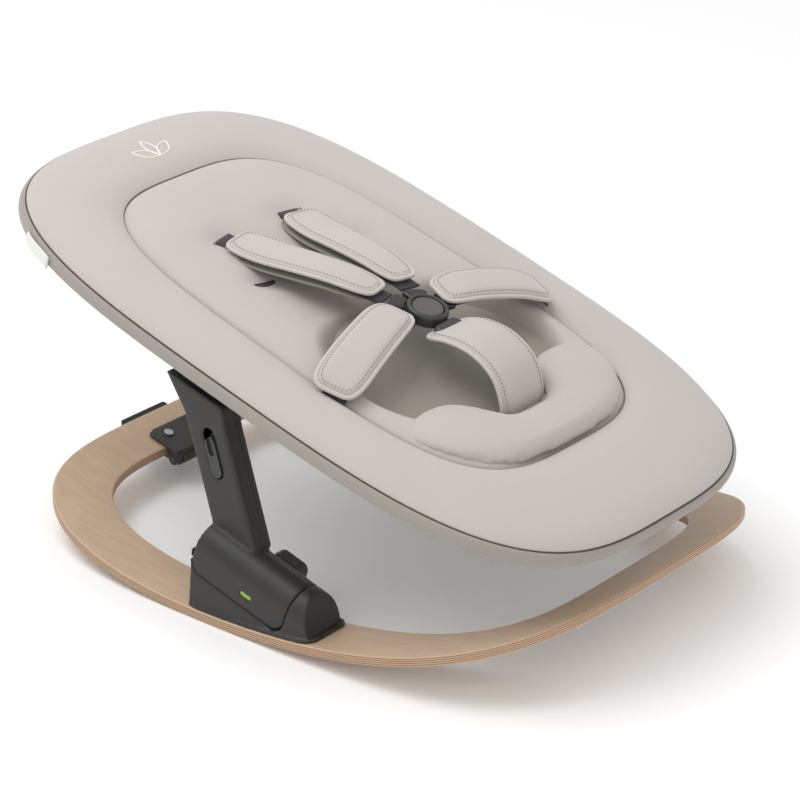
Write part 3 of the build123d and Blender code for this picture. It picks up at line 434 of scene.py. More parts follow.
def stitches(
    name: str, path: Array, length: float, gap: float, radius: float, material: bpy.types.Material
) -> bpy.types.Object:
    """A row of short threads along a path.

    Each stitch is an eight-sided spindle: a ring at its middle and a point at each end.

    Args:
        name: the piece's name.
        path: (count, 3) places in metres, on the cloth.
        length: of one stitch, in metres.
        gap: between stitches, in metres.
        radius: of the thread, in metres.
        material: its finish.

    Returns:
        One object that holds every stitch.
    """
    steps = np.linalg.norm(np.diff(path, axis=0), axis=1)
    travel = np.concatenate([[0.0], np.cumsum(steps)])
    count = int(travel[-1] / (length + gap))
    starts = np.arange(count) * (length + gap)
    ask = np.stack([starts, starts + length / 2, starts + length], 1)
    spots = np.stack([np.interp(ask, travel, path[:, k]) for k in range(3)], -1)
    run = spots[:, 2] - spots[:, 0]
    run /= np.linalg.norm(run, axis=1, keepdims=True)
    side = np.cross(run, [0.0, 0.0, 1.0])
    side /= np.linalg.norm(side, axis=1, keepdims=True)
    up = np.cross(side, run)
    sides = 6
    turn = np.linspace(0, 2 * np.pi, sides, endpoint=False)[None, :, None]
    ring = spots[:, 1][:, None] + radius * (np.cos(turn) * side[:, None] + np.sin(turn) * up[:, None])
    points = np.concatenate([ring, spots[:, :1], spots[:, 2:]], 1).reshape(-1, 3)
    here = np.arange(sides)
    after = (here + 1) % sides
    to_start = np.stack([here, after, np.full(sides, sides)], 1)
    to_end = np.stack([after, here, np.full(sides, sides + 1)], 1)
    fan = np.concatenate([to_start, to_end])
    faces = (np.arange(count)[:, None, None] * (sides + 2) + fan[None]).reshape(-1, 3)
    return make_piece(name, points, faces, material)


def smooth_line(points: Sequence[tuple[float, float]], count: int) -> Array:
    """A smooth curve through points, evenly spaced along its length.

    It is the Catmull-Rom cubic: each span starts and ends along the chord of its neighbours.

    Args:
        points: the places it passes through.
        count: how many places to return.

    Returns:
        (count, 2) places.
    """
    p = np.asarray(points, float)
    p = np.concatenate([[2 * p[0] - p[1]], p, [2 * p[-1] - p[-2]]])
    t = np.linspace(0, len(points) - 1 - 1e-9, 400)
    k = t.astype(int)
    f = (t - k)[:, None]
    a, b, c, d = p[k], p[k + 1], p[k + 2], p[k + 3]
    line = 0.5 * (2 * b + (c - a) * f + (2 * a - 5 * b + 4 * c - d) * f**2 + (3 * b - a - 3 * c + d) * f**3)
    travel = np.concatenate([[0.0], np.cumsum(np.linalg.norm(np.diff(line, axis=0), axis=1))])
    even = np.linspace(0, travel[-1], count)
    return np.stack([np.interp(even, travel, line[:, i]) for i in range(2)], 1)


def ease(low: float, high: float, value: Array) -> Array:
    """0 below low, 1 above high and a smooth step between."""
    t = np.clip((value - low) / (high - low), 0, 1)
    return t * t * (3 - 2 * t)


def inflate(piece: bpy.types.Object, voxel: float, pressure: float, cap: float, frames: int = 14) -> None:
    """Fills a closed pad by cloth simulation and applies the result.

    The mesh is remeshed evenly, blown up as cloth with no gravity, held to within a cap of where
    it started, smoothed, and subdivided once.

    Args:
        piece: the pad.
        voxel: remesh size in metres.
        pressure: the cloth's inner pressure.
        cap: how far a point may move, in metres.
        frames: frames to simulate.
    """
    remesh = piece.modifiers.new("remesh", "REMESH")
    remesh.mode = "VOXEL"
    remesh.voxel_size = voxel
    bake(piece)
    before = places(piece)
    cloth = piece.modifiers.new("cloth", "CLOTH")
    cloth.settings.use_pressure = True
    cloth.settings.uniform_pressure_force = pressure
    cloth.settings.effector_weights.gravity = 0
    cloth.settings.tension_stiffness = 30
    cloth.settings.bending_stiffness = 2
    cloth.point_cache.frame_end = frames
    for step in range(1, frames + 1):
        bpy.context.scene.frame_set(step)
    bake(piece)
    bpy.context.scene.frame_set(1)
    moved = places(piece) - before
    length = np.linalg.norm(moved, axis=1, keepdims=True)
    held = before + moved * np.minimum(1, cap / np.maximum(length, 1e-9))
    piece.data.vertices.foreach_set("co", held.astype(np.float32).ravel())
    smooth = piece.modifiers.new("smooth", "SMOOTH")
    smooth.iterations = 4
    finer = piece.modifiers.new("finer", "SUBSURF")
    finer.levels = 1
    finer.render_levels = 1
    bake(piece)
    piece.data.shade_smooth()


def bake(piece: bpy.types.Object) -> None:
    """Applies every modifier on a piece."""
    graph = bpy.context.evaluated_depsgraph_get()
    mesh = bpy.data.meshes.new_from_object(piece.evaluated_get(graph))
    piece.modifiers.clear()
    piece.data = mesh


def places(piece: bpy.types.Object) -> Array:
    """A piece's vertices as a (count, 3) array in metres."""
    flat = np.empty(len(piece.data.vertices) * 3, np.float32)
    piece.data.vertices.foreach_get("co", flat)
    return flat.reshape(-1, 3).astype(float)


# ---------------------------------------------------------------- the seat's own frame


@dataclass(frozen=True)
class SeatFrame:
    """The seat's tilted plane and outline: u towards the feet, v to the left, h off the plane."""

    tilt: float = 16.5
    centre_x: float = 0.8
    height: float = 242.0
    half_length: float = 366.5
    half_width: float = 218.5
    power: float = 3.4
    panel_centre: float = -9.0
    panel_half_length: float = 261.0
    panel_half_width: float = 150.0
    panel_power: float = 3.6

    def place(self, u: Array, v: Array, h: Array) -> Array:
        """Places in metres, from seat coordinates in millimetres."""
        t = np.radians(self.tilt)
        u, v, h = np.broadcast_arrays(np.asarray(u, float), v, h)
        x = self.centre_x + u * np.cos(t) + h * np.sin(t)
        z = self.height - u * np.sin(t) + h * np.cos(t)
        return np.stack([x, v, z], -1) * MM

    def measure(self, points: Array) -> tuple[Array, Array, Array]:
        """Seat coordinates in millimetres, from places in metres: the reverse of place."""
        t = np.radians(self.tilt)
        x = points[:, 0] / MM - self.centre_x
        z = points[:, 2] / MM - self.height
        return x * np.cos(t) - z * np.sin(t), points[:, 1] / MM, x * np.sin(t) + z * np.cos(t)

    def outline(self, turn: Array, inset: float = 0.0) -> tuple[Array, Array]:
        """The outer edge by polar angle: a superellipse."""
        return superellipse(turn, self.half_length - inset, self.half_width - inset, self.power)

    def panel(self, turn: Array) -> tuple[Array, Array]:
        """The seam round the inner panel, by polar angle about its own middle."""
        u, v = superellipse(turn, self.panel_half_length, self.panel_half_width, self.panel_power)
        return u + self.panel_centre, v * (1 + 0.035 * u / self.panel_half_length)


def superellipse(turn: Array, half_length: float, half_width: float, power: float) -> tuple[Array, Array]:
    """Points of |x/a|^n + |y/b|^n = 1 by polar angle."""
    c, s = np.cos(turn), np.sin(turn)
    reach = (np.abs(c / half_length) ** power + np.abs(s / half_width) ** power) ** (-1 / power)
    return reach * c, reach * s


SEAT = SeatFrame()


# ---------------------------------------------------------------- seat cushion


@dataclass
class SeatCushion:
    """The seat's padded cover: a fat border roll, a seamed inner panel and the hip bowl."""

    columns: int = 400
    panel_rows: int = 70
    border_rows: int = 44
    crown: float = 17.0
    seam_height: float = 8.0
    panel_puff: float = 8.5
    bowl_centre: float = 84.0
    bowl_half_length: float = 106.0
    bowl_half_width: float = 134.0
    bowl_power: float = 2.5
    bowl_floor: float = -24.0
    spine_depth: float = 9.0
    puff_width: float = 11.0
    panel_hollow: float = 4.0
    unevenness: float = 0.7
    slot_dimple: float = 6.0
    fold_depth: float = 2.4
    crease_depth: float = 2.6
    crease_width: float = 2.6
    border_top: float = 0.42
    border_wave: float = 0.55
    underside_depth: float = 9.0
    binding_drop: float = 0.2
    leaf_centre: float = -312.0
    leaf_size: float = 30.0
    slots: tuple = ((-160.0, 50.0), (-90.0, 65.0))

    def bowl_reach(self, u: Array, v: Array) -> Array:
        """How far a place is from the bowl's middle: 1 on its superelliptic edge."""
        along = np.abs((u - self.bowl_centre) / self.bowl_half_length) ** self.bowl_power
        across = np.abs(v / self.bowl_half_width) ** self.bowl_power
        return (along + across) ** (1 / self.bowl_power)

    def panel_height(self, u: Array, v: Array, inside: Array) -> Array:
        """Height of the inner panel.

        It rises from its seam, sinks along the spine, dimples at the strap slots and drops into
        the bowl, whose head side slopes and whose foot side is steep.

        Args:
            u: along the seat.
            v: across it.
            inside: distance in from the seam.

        Returns:
            Height above the seat plane.
        """
        h = self.seam_height + self.panel_puff * (1 - np.exp(-inside / self.puff_width))
        h = h - self.panel_hollow * ease(30, 110, inside)
        trough = 48.0 + 30.0 * ease(-170, 0, u)
        spine = np.exp(-((v / trough) ** 4)) * ease(-205, -60, u)
        h = h - self.spine_depth * spine
        soft = np.sin(u / 27.0 + 1.9 * np.sin(v / 41.0)) * np.sin(v / 33.0 + 1.1 * np.sin(u / 52.0))
        h = h + self.unevenness * soft * ease(8, 40, inside)
        for slot_u, slot_v in self.slots:
            reach = ((u - slot_u) / 16.0) ** 2 + ((np.abs(v) - slot_v) / 24.0) ** 2
            h = h - self.slot_dimple * np.exp(-reach)
        away = self.bowl_reach(u, v)
        steep = ease(20, 120, u)
        sink = ease(0.0, 0.46 - 0.26 * steep, 1 - away)
        h = h + (self.bowl_floor - h) * sink
        turned = np.arctan2(v, u - self.bowl_centre)
        wander = 1.5 * np.sin(2.3 * turned + 4.0 * away)
        folds = 1 - 2 * np.abs(np.sin(6.5 * turned + wander)) ** 0.6
        folds = folds + 0.7 * np.sin(23.0 * turned - 5.0 * away)
        band = np.exp(-(((away - 0.66) / 0.17) ** 2)) * (0.4 + 0.6 * steep)
        return h - self.fold_depth * folds * band

    def in_bowl(self, u: Array, v: Array) -> Array:
        """1 inside the bowl's lining, 0 outside and a smooth step at its edge."""
        away = self.bowl_reach(u, v)
        return 1 - ease(0.86, 0.99, away)

    def border_height(self, share: Array, turn: Array) -> Array:
        """Height of the border roll, from its inner seam (0) to the outer edge (1)."""
        top = self.border_top
        inner = 1 - np.clip(1 - share / top, 0, 1) ** 3.0
        outer = np.clip(1 - np.clip((share - top) / (1 - top), 0, 1) ** 2.1, 0, 1) ** 0.62
        rise = self.seam_height + (self.crown - self.seam_height) * inner
        h = np.where(share < top, rise, self.crown * outer)
        slow = np.sin(7 * turn + 3 * share) + 0.5 * np.sin(17 * turn - 5 * share)
        return h + self.border_wave * slow * np.sin(np.pi * share)

    def line_bowl(self, cushion: bpy.types.Object) -> None:
        """Writes how much of the bowl's lining shows at each point, for the cloth's finish."""
        u, v, _ = SEAT.measure(places(cushion))
        layer = cushion.data.attributes.new("lining", "FLOAT", "POINT")
        layer.data.foreach_set("value", self.in_bowl(u, v).astype(np.float32))

    def build(self, cloth: bpy.types.Material) -> bpy.types.Object:
        """Builds the cushion as rings from the panel's middle to the edge and back underneath."""
        turn = np.linspace(0, 2 * np.pi, self.columns, endpoint=False)[None]
        inner_u, inner_v = SEAT.panel(turn)
        outer_u, outer_v = SEAT.outline(turn)
        share = 1 - (1 - np.linspace(0, 1, self.panel_rows + 1)[1:, None]) ** 1.4
        u = SEAT.panel_centre + (inner_u - SEAT.panel_centre) * share
        v = inner_v * share
        reach = np.hypot(inner_u - SEAT.panel_centre, inner_v)
        flat = np.minimum(1.0, 150.0 / reach)
        h = self.panel_height(u, v, (1 - share) * reach * (0.4 + 0.6 * flat))
        h = h - self.crease_depth * np.exp(-(((1 - share) * reach / self.crease_width) ** 2))
        wave = np.linspace(0, 1, self.border_rows + 1)[1:, None]
        out = 0.5 - 0.5 * np.cos(np.pi * wave)
        border_u = inner_u + (outer_u - inner_u) * out
        border_v = inner_v + (outer_v - inner_v) * out
        border_h = self.border_height(out, turn)
        under = np.linspace(0, 1, 8)[1:, None]
        lower_u = outer_u * (1 - 0.12 * under)
        lower_v = outer_v * (1 - 0.12 * under)
        lower_h = -self.underside_depth * np.sin(np.pi / 2 * under) * np.ones_like(turn)
        panel = SEAT.place(u, v, h)
        border = SEAT.place(border_u, border_v, border_h)
        lower = SEAT.place(lower_u, lower_v, lower_h)
        rings = np.concatenate([panel, border, lower])
        middle = self.panel_height(np.array(SEAT.panel_centre), np.array(0.0), np.array(150.0))
        first = SEAT.place(SEAT.panel_centre, 0, middle)
        last = SEAT.place(self.bowl_centre, 0, self.bowl_floor - 10.0)
        cushion = closed_skin("seat_cushion", rings, first, last, cloth)
        self.line_bowl(cushion)
        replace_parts(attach(cushion, Body.SEAT.value), "seat_pad")
        return cushion

    def trim(
        self,
        thread: bpy.types.Material,
        seam: bpy.types.Material,
        cream: bpy.types.Material,
        dark: bpy.types.Material,
    ) -> list[bpy.types.Object]:
        """Adds the seams' threads, the slot bindings and a plain leaf at the head end."""
        turn = np.linspace(0, 2 * np.pi, 900, endpoint=False)
        pieces = []
        u, v = SEAT.panel(turn)
        pieces.append(tube("panel_seam", SEAT.place(u, v, self.seam_height - 0.7), 0.0006, thread, sides=6))
        u, v = SEAT.outline(turn, -0.1)
        pieces.append(tube("edge_seam", SEAT.place(u, v, -0.3), 0.0011, seam, sides=6))
        for piece in pieces:
            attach(piece, Body.SEAT.value)
        pieces.append(self.leaf(cream))
        for row, (slot_u, slot_v) in enumerate(self.slots):
            for side, word in ((-1, "right"), (1, "left")):
                lap = np.linspace(0, 2 * np.pi, 40, endpoint=False)
                su, sv = superellipse(lap, 1.0, 1.0, 3.0)
                su, sv = 1.7 * su + slot_u, 15.0 * sv + side * slot_v
                level = self.panel_height(su, sv, np.full_like(su, 80.0)) - self.binding_drop
                name = f"slot_{row + 1}_{word}"
                binding = tube(name, SEAT.place(su, sv, level), 0.0011, dark, sides=6)
                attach(binding, Body.SEAT.value)
                pieces.append(binding)
        return pieces

    def leaf(self, cream: bpy.types.Material) -> bpy.types.Object:
        """A plain leaf sprig: three almond outlines from one point, in one raised cord."""
        middle_u, size = self.leaf_centre, self.leaf_size
        t = np.linspace(0, 1, 40)
        outlines = []
        for lean in (-0.95, 0.0, 0.95):
            along = np.concatenate([t, t[::-1]])
            wide = np.concatenate([np.sin(np.pi * t), -np.sin(np.pi * t[::-1])]) * 0.2
            y = size * (along * np.sin(lean) + wide * np.cos(lean))
            x = size * (along * np.cos(lean) - wide * np.sin(lean))
            outlines.append(np.stack([middle_u - x + size / 2, y], 1))
        path = np.concatenate(outlines)
        seam = SEAT.panel_half_length - SEAT.panel_centre
        share = np.clip((-path[:, 0] - seam) / (SEAT.half_length - seam), 0, 1)
        height = self.border_height(share, np.arctan2(path[:, 1], path[:, 0])) + 0.1
        sprig = tube("stitched_leaf", SEAT.place(path[:, 0], path[:, 1], height), 0.0007, cream, sides=6)
        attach(sprig, Body.SEAT.value)
        return sprig


# ---------------------------------------------------------------- underside and rim


@dataclass
class UnderCover:
    """The rolled rim below the edge seam and the sling with the bowl's outside."""

    columns: int = 320
    half_length: float = 370.0
    half_width: float = 223.0
    power: float = 3.5
    rim_bottom: float = -21.0
    rim_width: float = 27.0
    sling: float = -15.5
    bowl_centre: float = 84.0
    bowl_half_length: float = 125.0
    bowl_half_width: float = 152.0
    bowl_power: float = 2.5
    bowl_drop: float = 26.0

    def build(self, cloth: bpy.types.Material) -> bpy.types.Object:
        """Builds the rim as a half-round roll, then the sling as rings to its middle.

        A flat fan just under the seat plane closes its top, right across the seat.
        """
        turn = np.linspace(0, 2 * np.pi, self.columns, endpoint=False)[None]
        roll = np.linspace(np.pi / 2, -np.pi / 2, 30)[:, None]
        above = roll > 0
        inset = np.where(above, 5.0, self.rim_width) * (1 - np.cos(roll)) ** np.where(above, 1.0, 1.2)
        drop = -8.5 + np.where(above, 8.3, 12.5) * np.sin(roll)
        outer_u, outer_v = superellipse(turn, self.half_length, self.half_width, self.power)
        shrink_u = 1 - inset / self.half_length
        shrink_v = 1 - inset / self.half_width
        rim = SEAT.place(outer_u * shrink_u, outer_v * shrink_v, drop)
        share = np.linspace(1, 0, 60)[1:-1, None]
        u = outer_u * (1 - self.rim_width / self.half_length) * share
        v = outer_v * (1 - self.rim_width / self.half_width) * share
        along = np.abs((u - self.bowl_centre) / self.bowl_half_length) ** self.bowl_power
        across = np.abs(v / self.bowl_half_width) ** self.bowl_power
        away = (along + across) ** (1 / self.bowl_power)
        h = self.rim_bottom + (self.sling - self.rim_bottom) * ease(1.0, 0.93, share)
        h = h - self.bowl_drop * ease(0.0, 0.5, 1 - away)
        sling = SEAT.place(u, v, h)
        first = SEAT.place(0, 0, -0.4)
        last = SEAT.place(0, 0, self.sling - 6.0)
        cover = closed_skin("under_cover_skin", np.concatenate([rim, sling]), first, last, cloth)
        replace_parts(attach(cover, Body.SEAT.value), "under_cover")
        return cover


# ---------------------------------------------------------------- leg rest


@dataclass
class LegRest:
    """The loose crescent cushion at the foot of the panel, notched for the crotch strap."""

    foot_gap: float = 1.0
    half_width: float = 143.0
    base: float = 5.0
    top: float = 21.0
    head_edge: float = 139.0
    notch_depth: float = 50.0
    notch_half: float = 56.0
    rows: int = 40
    columns: int = 100
    voxel: float = 0.0045
    pressure: float = 4.0
    cap: float = 0.004

    def build(self, cloth: bpy.types.Material) -> bpy.types.Object:
        """Builds the cushion's top, underside and wall, fills it and smooths it.

        Its rows run across the seat.  The head edge bows in round the strap, and the foot edge is
        the panel's seam.
        """
        rows, columns = self.rows, self.columns
        across = np.linspace(-1, 1, columns)[None]
        v = self.half_width * across * np.ones((rows, 1))
        head = self.head_edge + self.notch_depth * np.exp(-((v / self.notch_half) ** 4))
        head = head + 22.0 * np.abs(across) ** 10
        limit = SEAT.panel_half_width * 1.03
        foot = SEAT.panel_centre + (SEAT.panel_half_length - self.foot_gap) * (
            1 - np.clip(np.abs(v) / limit, 0, 1) ** SEAT.panel_power
        ) ** (1 / SEAT.panel_power)
        along = np.linspace(0, 1, rows)[:, None]
        u = head + (foot - head) * along
        swell = (1 - np.abs(2 * along - 1) ** 3.2) ** 0.5 * (1 - np.abs(across) ** 7) ** 0.5
        upper = SEAT.place(u, v, self.base + 2 + (self.top - self.base - 2) * swell)
        lower = SEAT.place(u, v, self.base + 1.5 - 1.2 * swell)
        points = np.concatenate([upper.reshape(-1, 3), lower.reshape(-1, 3)])
        i, j = np.meshgrid(np.arange(rows - 1), np.arange(columns - 1), indexing="ij")
        a = (i * columns + j).ravel()
        quads = np.stack([a, a + 1, a + columns + 1, a + columns], 1)
        size = rows * columns
        edge = np.concatenate(
            [
                np.arange(columns),
                np.arange(2, rows + 1) * columns - 1,
                (rows - 1) * columns + np.arange(columns - 2, -1, -1),
                np.arange(rows - 2, 0, -1) * columns,
            ]
        )
        after = np.roll(edge, -1)
        wall = np.stack([edge, after, after + size, edge + size], 1)
        faces = np.concatenate([quads, quads[:, ::-1] + size, wall])
        cushion = make_piece("leg_rest_cushion", points, faces, cloth)
        inflate(cushion, self.voxel, self.pressure, self.cap)
        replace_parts(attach(cushion, Body.SEAT.value), "leg_rest_pad")
        return cushion


# ---------------------------------------------------------------- harness


@dataclass
class Strap:
    """A strap's course over the seat: a plan line and a side view of heights along it."""

    start: tuple[float, float]
    end: tuple[float, float]
    profile: tuple

    def place(self, s: Array, c: Array, n: Array) -> Array:
        """Places in metres from millimetres along, across and off the strap.

        The course is the smooth curve of the side view.  Across is level and square to the plan
        line, and off is square to the course.

        Args:
            s: along the course, from 0 to 1.
            c: across it.
            n: off its middle surface.

        Returns:
            Places in metres.
        """
        line = smooth_line(self.profile, 200)
        grid = np.linspace(0, 1, 200)
        slope = np.gradient(line, axis=0)
        slope /= np.linalg.norm(slope, axis=1, keepdims=True)
        s, c, n = np.broadcast_arrays(np.asarray(s, float), c, n)
        run, high = (np.interp(s, grid, line[:, k]) for k in range(2))
        dr, dh = (np.interp(s, grid, slope[:, k]) for k in range(2))
        run, high = run - dh * n, high + dr * n
        direction = np.subtract(self.end, self.start)
        direction = direction / np.linalg.norm(direction)
        u = self.start[0] + direction[0] * run - direction[1] * c
        v = self.start[1] + direction[1] * run + direction[0] * c
        return SEAT.place(u, v, high)

    def length(self) -> float:
        """The course's length in millimetres."""
        line = smooth_line(self.profile, 200)
        return float(np.linalg.norm(np.diff(line, axis=0), axis=1).sum())


@dataclass
class HarnessPad:
    """A stuffed harness pad with a piped edge and a row of stitches inside it."""

    name: str
    strap: Strap
    start_width: float
    end_width: float
    thickness: float = 9.0
    power: float = 5.0
    piping: float = 2.1
    stitch_inset: float = 4.5

    def edge(self, turn: Array, inset: float) -> tuple[Array, Array]:
        """The pad's rounded outline as a share along and millimetres across."""
        half = self.strap.length() / 2
        along, across = superellipse(turn, 1.0, 1.0, self.power)
        share = 0.5 + along * (half - inset) / (2 * half)
        width = self.start_width + (self.end_width - self.start_width) * share
        return share, across * (width / 2 - inset)

    def build(
        self, cloth: bpy.types.Material, edging: bpy.types.Material, thread: bpy.types.Material
    ) -> list[bpy.types.Object]:
        """Builds the pad's body, its piping and its stitches.

        Its rows run out from the middle over the top and back in underneath, and the top swells
        as (1 - rho^5)^(1/2).
        """
        turn = np.linspace(0, 2 * np.pi, 120, endpoint=False)[None]
        share, across = self.edge(turn, self.piping * 0.6)
        rho = np.sin(np.linspace(0, np.pi / 2, 17))[1:, None]
        top = self.thickness * 0.62 * (1 - rho**5) ** 0.5
        groove = 0.5 * np.exp(-(((rho - 0.84) / 0.06) ** 2))
        under = -self.thickness * 0.34 * (1 - rho[::-1][1:] ** 8) ** 0.5
        s = 0.5 + (share - 0.5) * np.concatenate([rho, rho[::-1][1:]])
        c = across * np.concatenate([rho, rho[::-1][1:]])
        n = np.concatenate([top - groove, under]) * np.ones_like(turn)
        first = self.strap.place(0.5, 0.0, float(self.thickness * 0.62))
        last = self.strap.place(0.5, 0.0, float(-self.thickness * 0.34))
        body = closed_skin(f"{self.name}_body", self.strap.place(s, c, n), first, last, cloth)
        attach(body, Body.SEAT.value)
        if self.name in frame["nodes"]:
            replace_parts(body, self.name)
        lap = np.linspace(0, 2 * np.pi, 240, endpoint=False)
        share, across = self.edge(lap, 0.3)
        cord = tube(f"{self.name}_piping", self.strap.place(share, across, 0.3), self.piping * MM, edging)
        share, across = self.edge(np.append(lap, 0.0), self.stitch_inset)
        path = self.strap.place(share, across, self.thickness * 0.44)
        row = stitches(f"{self.name}_stitching", path, 0.0028, 0.0009, 0.00042, thread)
        for piece in (body, cord, row):
            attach(piece, Body.SEAT.value)
        return [body, cord, row]


@dataclass
class Webbing:
    """A flat woven strap."""

    name: str
    strap: Strap
    width: float = 25.0
    thickness: float = 2.0

    def build(self, cloth: bpy.types.Material) -> bpy.types.Object:
        """Builds the strap as a rounded flat section carried along its course, with its UV map."""
        rows, columns = 60, 20
        turn = np.linspace(0, 2 * np.pi, columns, endpoint=False)[None]
        c, n = superellipse(turn, 1.0, 1.0, 6.0)
        c, n = c * self.width / 2, n * self.thickness / 2
        s = np.linspace(0, 1, rows)[:, None]
        rings = self.strap.place(s, c, n)
        first, last = rings[0].mean(0), rings[-1].mean(0)
        piece = closed_skin(self.name + "_strap", rings, first, last, cloth)
        self.map(piece)
        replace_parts(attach(piece, Body.SEAT.value), self.name)
        return piece

    def map(self, piece: bpy.types.Object) -> None:
        """Gives the strap a UV map in millimetres: along it, and across from its middle."""
        spots = places(piece)
        middle = spots.mean(0)
        axis = self.strap.place(np.array([0.0, 1.0]), 0.0, 0.0)
        run = (axis[1] - axis[0]) / np.linalg.norm(axis[1] - axis[0])
        side = np.cross(run, [np.sin(np.radians(SEAT.tilt)), 0, np.cos(np.radians(SEAT.tilt))])
        uv = np.stack([(spots - middle) @ run, (spots - middle) @ side], 1) / MM
        layer = piece.data.uv_layers.new(name="strap")
        index = np.empty(len(piece.data.loops), np.int32)
        piece.data.loops.foreach_get("vertex_index", index)
        layer.data.foreach_set("uv", uv[index].astype(np.float32).ravel())


@dataclass
class Buckle:
    """The round buckle: a ringed hub with a tail, its push disc and four tongues."""

    centre: float = 56.0
    base: float = 34.0
    radius: float = 21.0
    depth: float = 12.0
    button_radius: float = 15.5
    tongue_inner: float = 21.6
    tongue_outer: float = 36.5
    tongue_height: float = 7.0
    tongues: dict = field(
        default_factory=lambda: {
            "tongue_shoulder_right": -152.0,
            "tongue_shoulder_left": 152.0,
            "tongue_waist_right": -96.0,
            "tongue_waist_left": 96.0,
        }
    )

    def lathe(
        self, name: str, profile: Sequence[tuple[float, float]], material: bpy.types.Material
    ) -> bpy.types.Object:
        """Turns a profile of (radius, height) round the buckle's axis."""
        turn = np.linspace(0, 2 * np.pi, 96, endpoint=False)[None]
        line = smooth_line(profile, 70)
        r, h = line[:, :1], line[:, 1:]
        rings = SEAT.place(self.centre + r * np.cos(turn), r * np.sin(turn), h * np.ones_like(turn))
        first = SEAT.place(self.centre, 0, profile[0][1])
        last = SEAT.place(self.centre, 0, profile[-1][1])
        return closed_skin(name, rings, first, last, material)

    def lozenge(
        self,
        name: str,
        shape: Callable[[Array, Array, Array], Array],
        low: float,
        high: float,
        material: bpy.types.Material,
    ) -> bpy.types.Object:
        """A rounded block whose plan is a mapped square, between two heights."""
        turn = np.linspace(0, 2 * np.pi, 72, endpoint=False)[None]
        a, b = superellipse(turn, 1.0, 1.0, 5.0)
        lift = np.linspace(0, np.pi, 22)[1:-1, None]
        rho = np.sin(lift) ** 0.35
        level = (low + high) / 2 + (high - low) / 2 * np.sign(np.cos(lift)) * np.abs(np.cos(lift)) ** 0.6
        rings = shape(a * rho, b * rho, level * np.ones_like(turn))
        zero = np.zeros(())
        top, bottom = shape(zero, zero, np.array(high)), shape(zero, zero, np.array(low))
        return closed_skin(name, rings, top, bottom, material)

    def build(
        self, plastic: bpy.types.Material, disc: bpy.types.Material, gloss: bpy.types.Material
    ) -> list[bpy.types.Object]:
        """Builds the hub, the tail, the disc and the tongues."""
        top = self.base + self.depth
        well = self.button_radius + 1.0
        hub = self.lathe(
            "buckle_hub",
            [
                (0.5, top - 7.6),
                (well - 1.0, top - 7.6),
                (well, top - 5.6),
                (well, top - 1.4),
                (well + 0.9, top),
                (self.radius - 1.8, top - 0.2),
                (self.radius, top - 2.4),
                (self.radius, self.base + 1.5),
                (self.radius - 1.5, self.base),
                (0.5, self.base),
            ],
            plastic,
        )

        def tail(a: Array, b: Array, h: Array) -> Array:
            """Widens from the hub towards the crotch strap."""
            return SEAT.place(self.centre + 31.5 + 10.5 * a, (18.0 + 1.8 * a) * b, h)

        block = self.lozenge("buckle_tail", tail, self.base + 0.3, self.base + 8.0, plastic)
        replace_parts(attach(hub, Body.SEAT.value), "buckle_housing")
        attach(block, Body.SEAT.value)
        face = top - 0.7
        button = self.lathe(
            "buckle_disc",
            [
                (0.5, face - 0.5),
                (9.0, face - 0.35),
                (self.button_radius - 1.6, face),
                (self.button_radius - 0.3, face - 0.5),
                (self.button_radius, face - 1.4),
                (self.button_radius - 0.4, top - 3.5),
                (0.5, top - 3.5),
            ],
            disc,
        )
        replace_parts(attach(button, Body.BUCKLE_BUTTON.value), "buckle_button")
        pieces = [hub, block, button]
        for name, middle in self.tongues.items():
            pieces.append(self.tongue(name, middle, gloss))
        return pieces

    def tongue(self, name: str, middle: float, gloss: bpy.types.Material) -> bpy.types.Object:
        """A rounded tongue that hugs the hub, centred on an angle in degrees."""

        def sector(a: Array, b: Array, h: Array) -> Array:
            """A square bent round the hub: a is outwards, b is round it."""
            r = (self.tongue_inner + self.tongue_outer) / 2 + (self.tongue_outer - self.tongue_inner) / 2 * a
            turn = np.radians(middle + 23.0 * b)
            return SEAT.place(self.centre + r * np.cos(turn), r * np.sin(turn), h)

        piece = self.lozenge(f"{name}_body", sector, self.base + 0.3, self.base + self.tongue_height, gloss)
        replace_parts(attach(piece, Body.SEAT.value), name)
        return piece


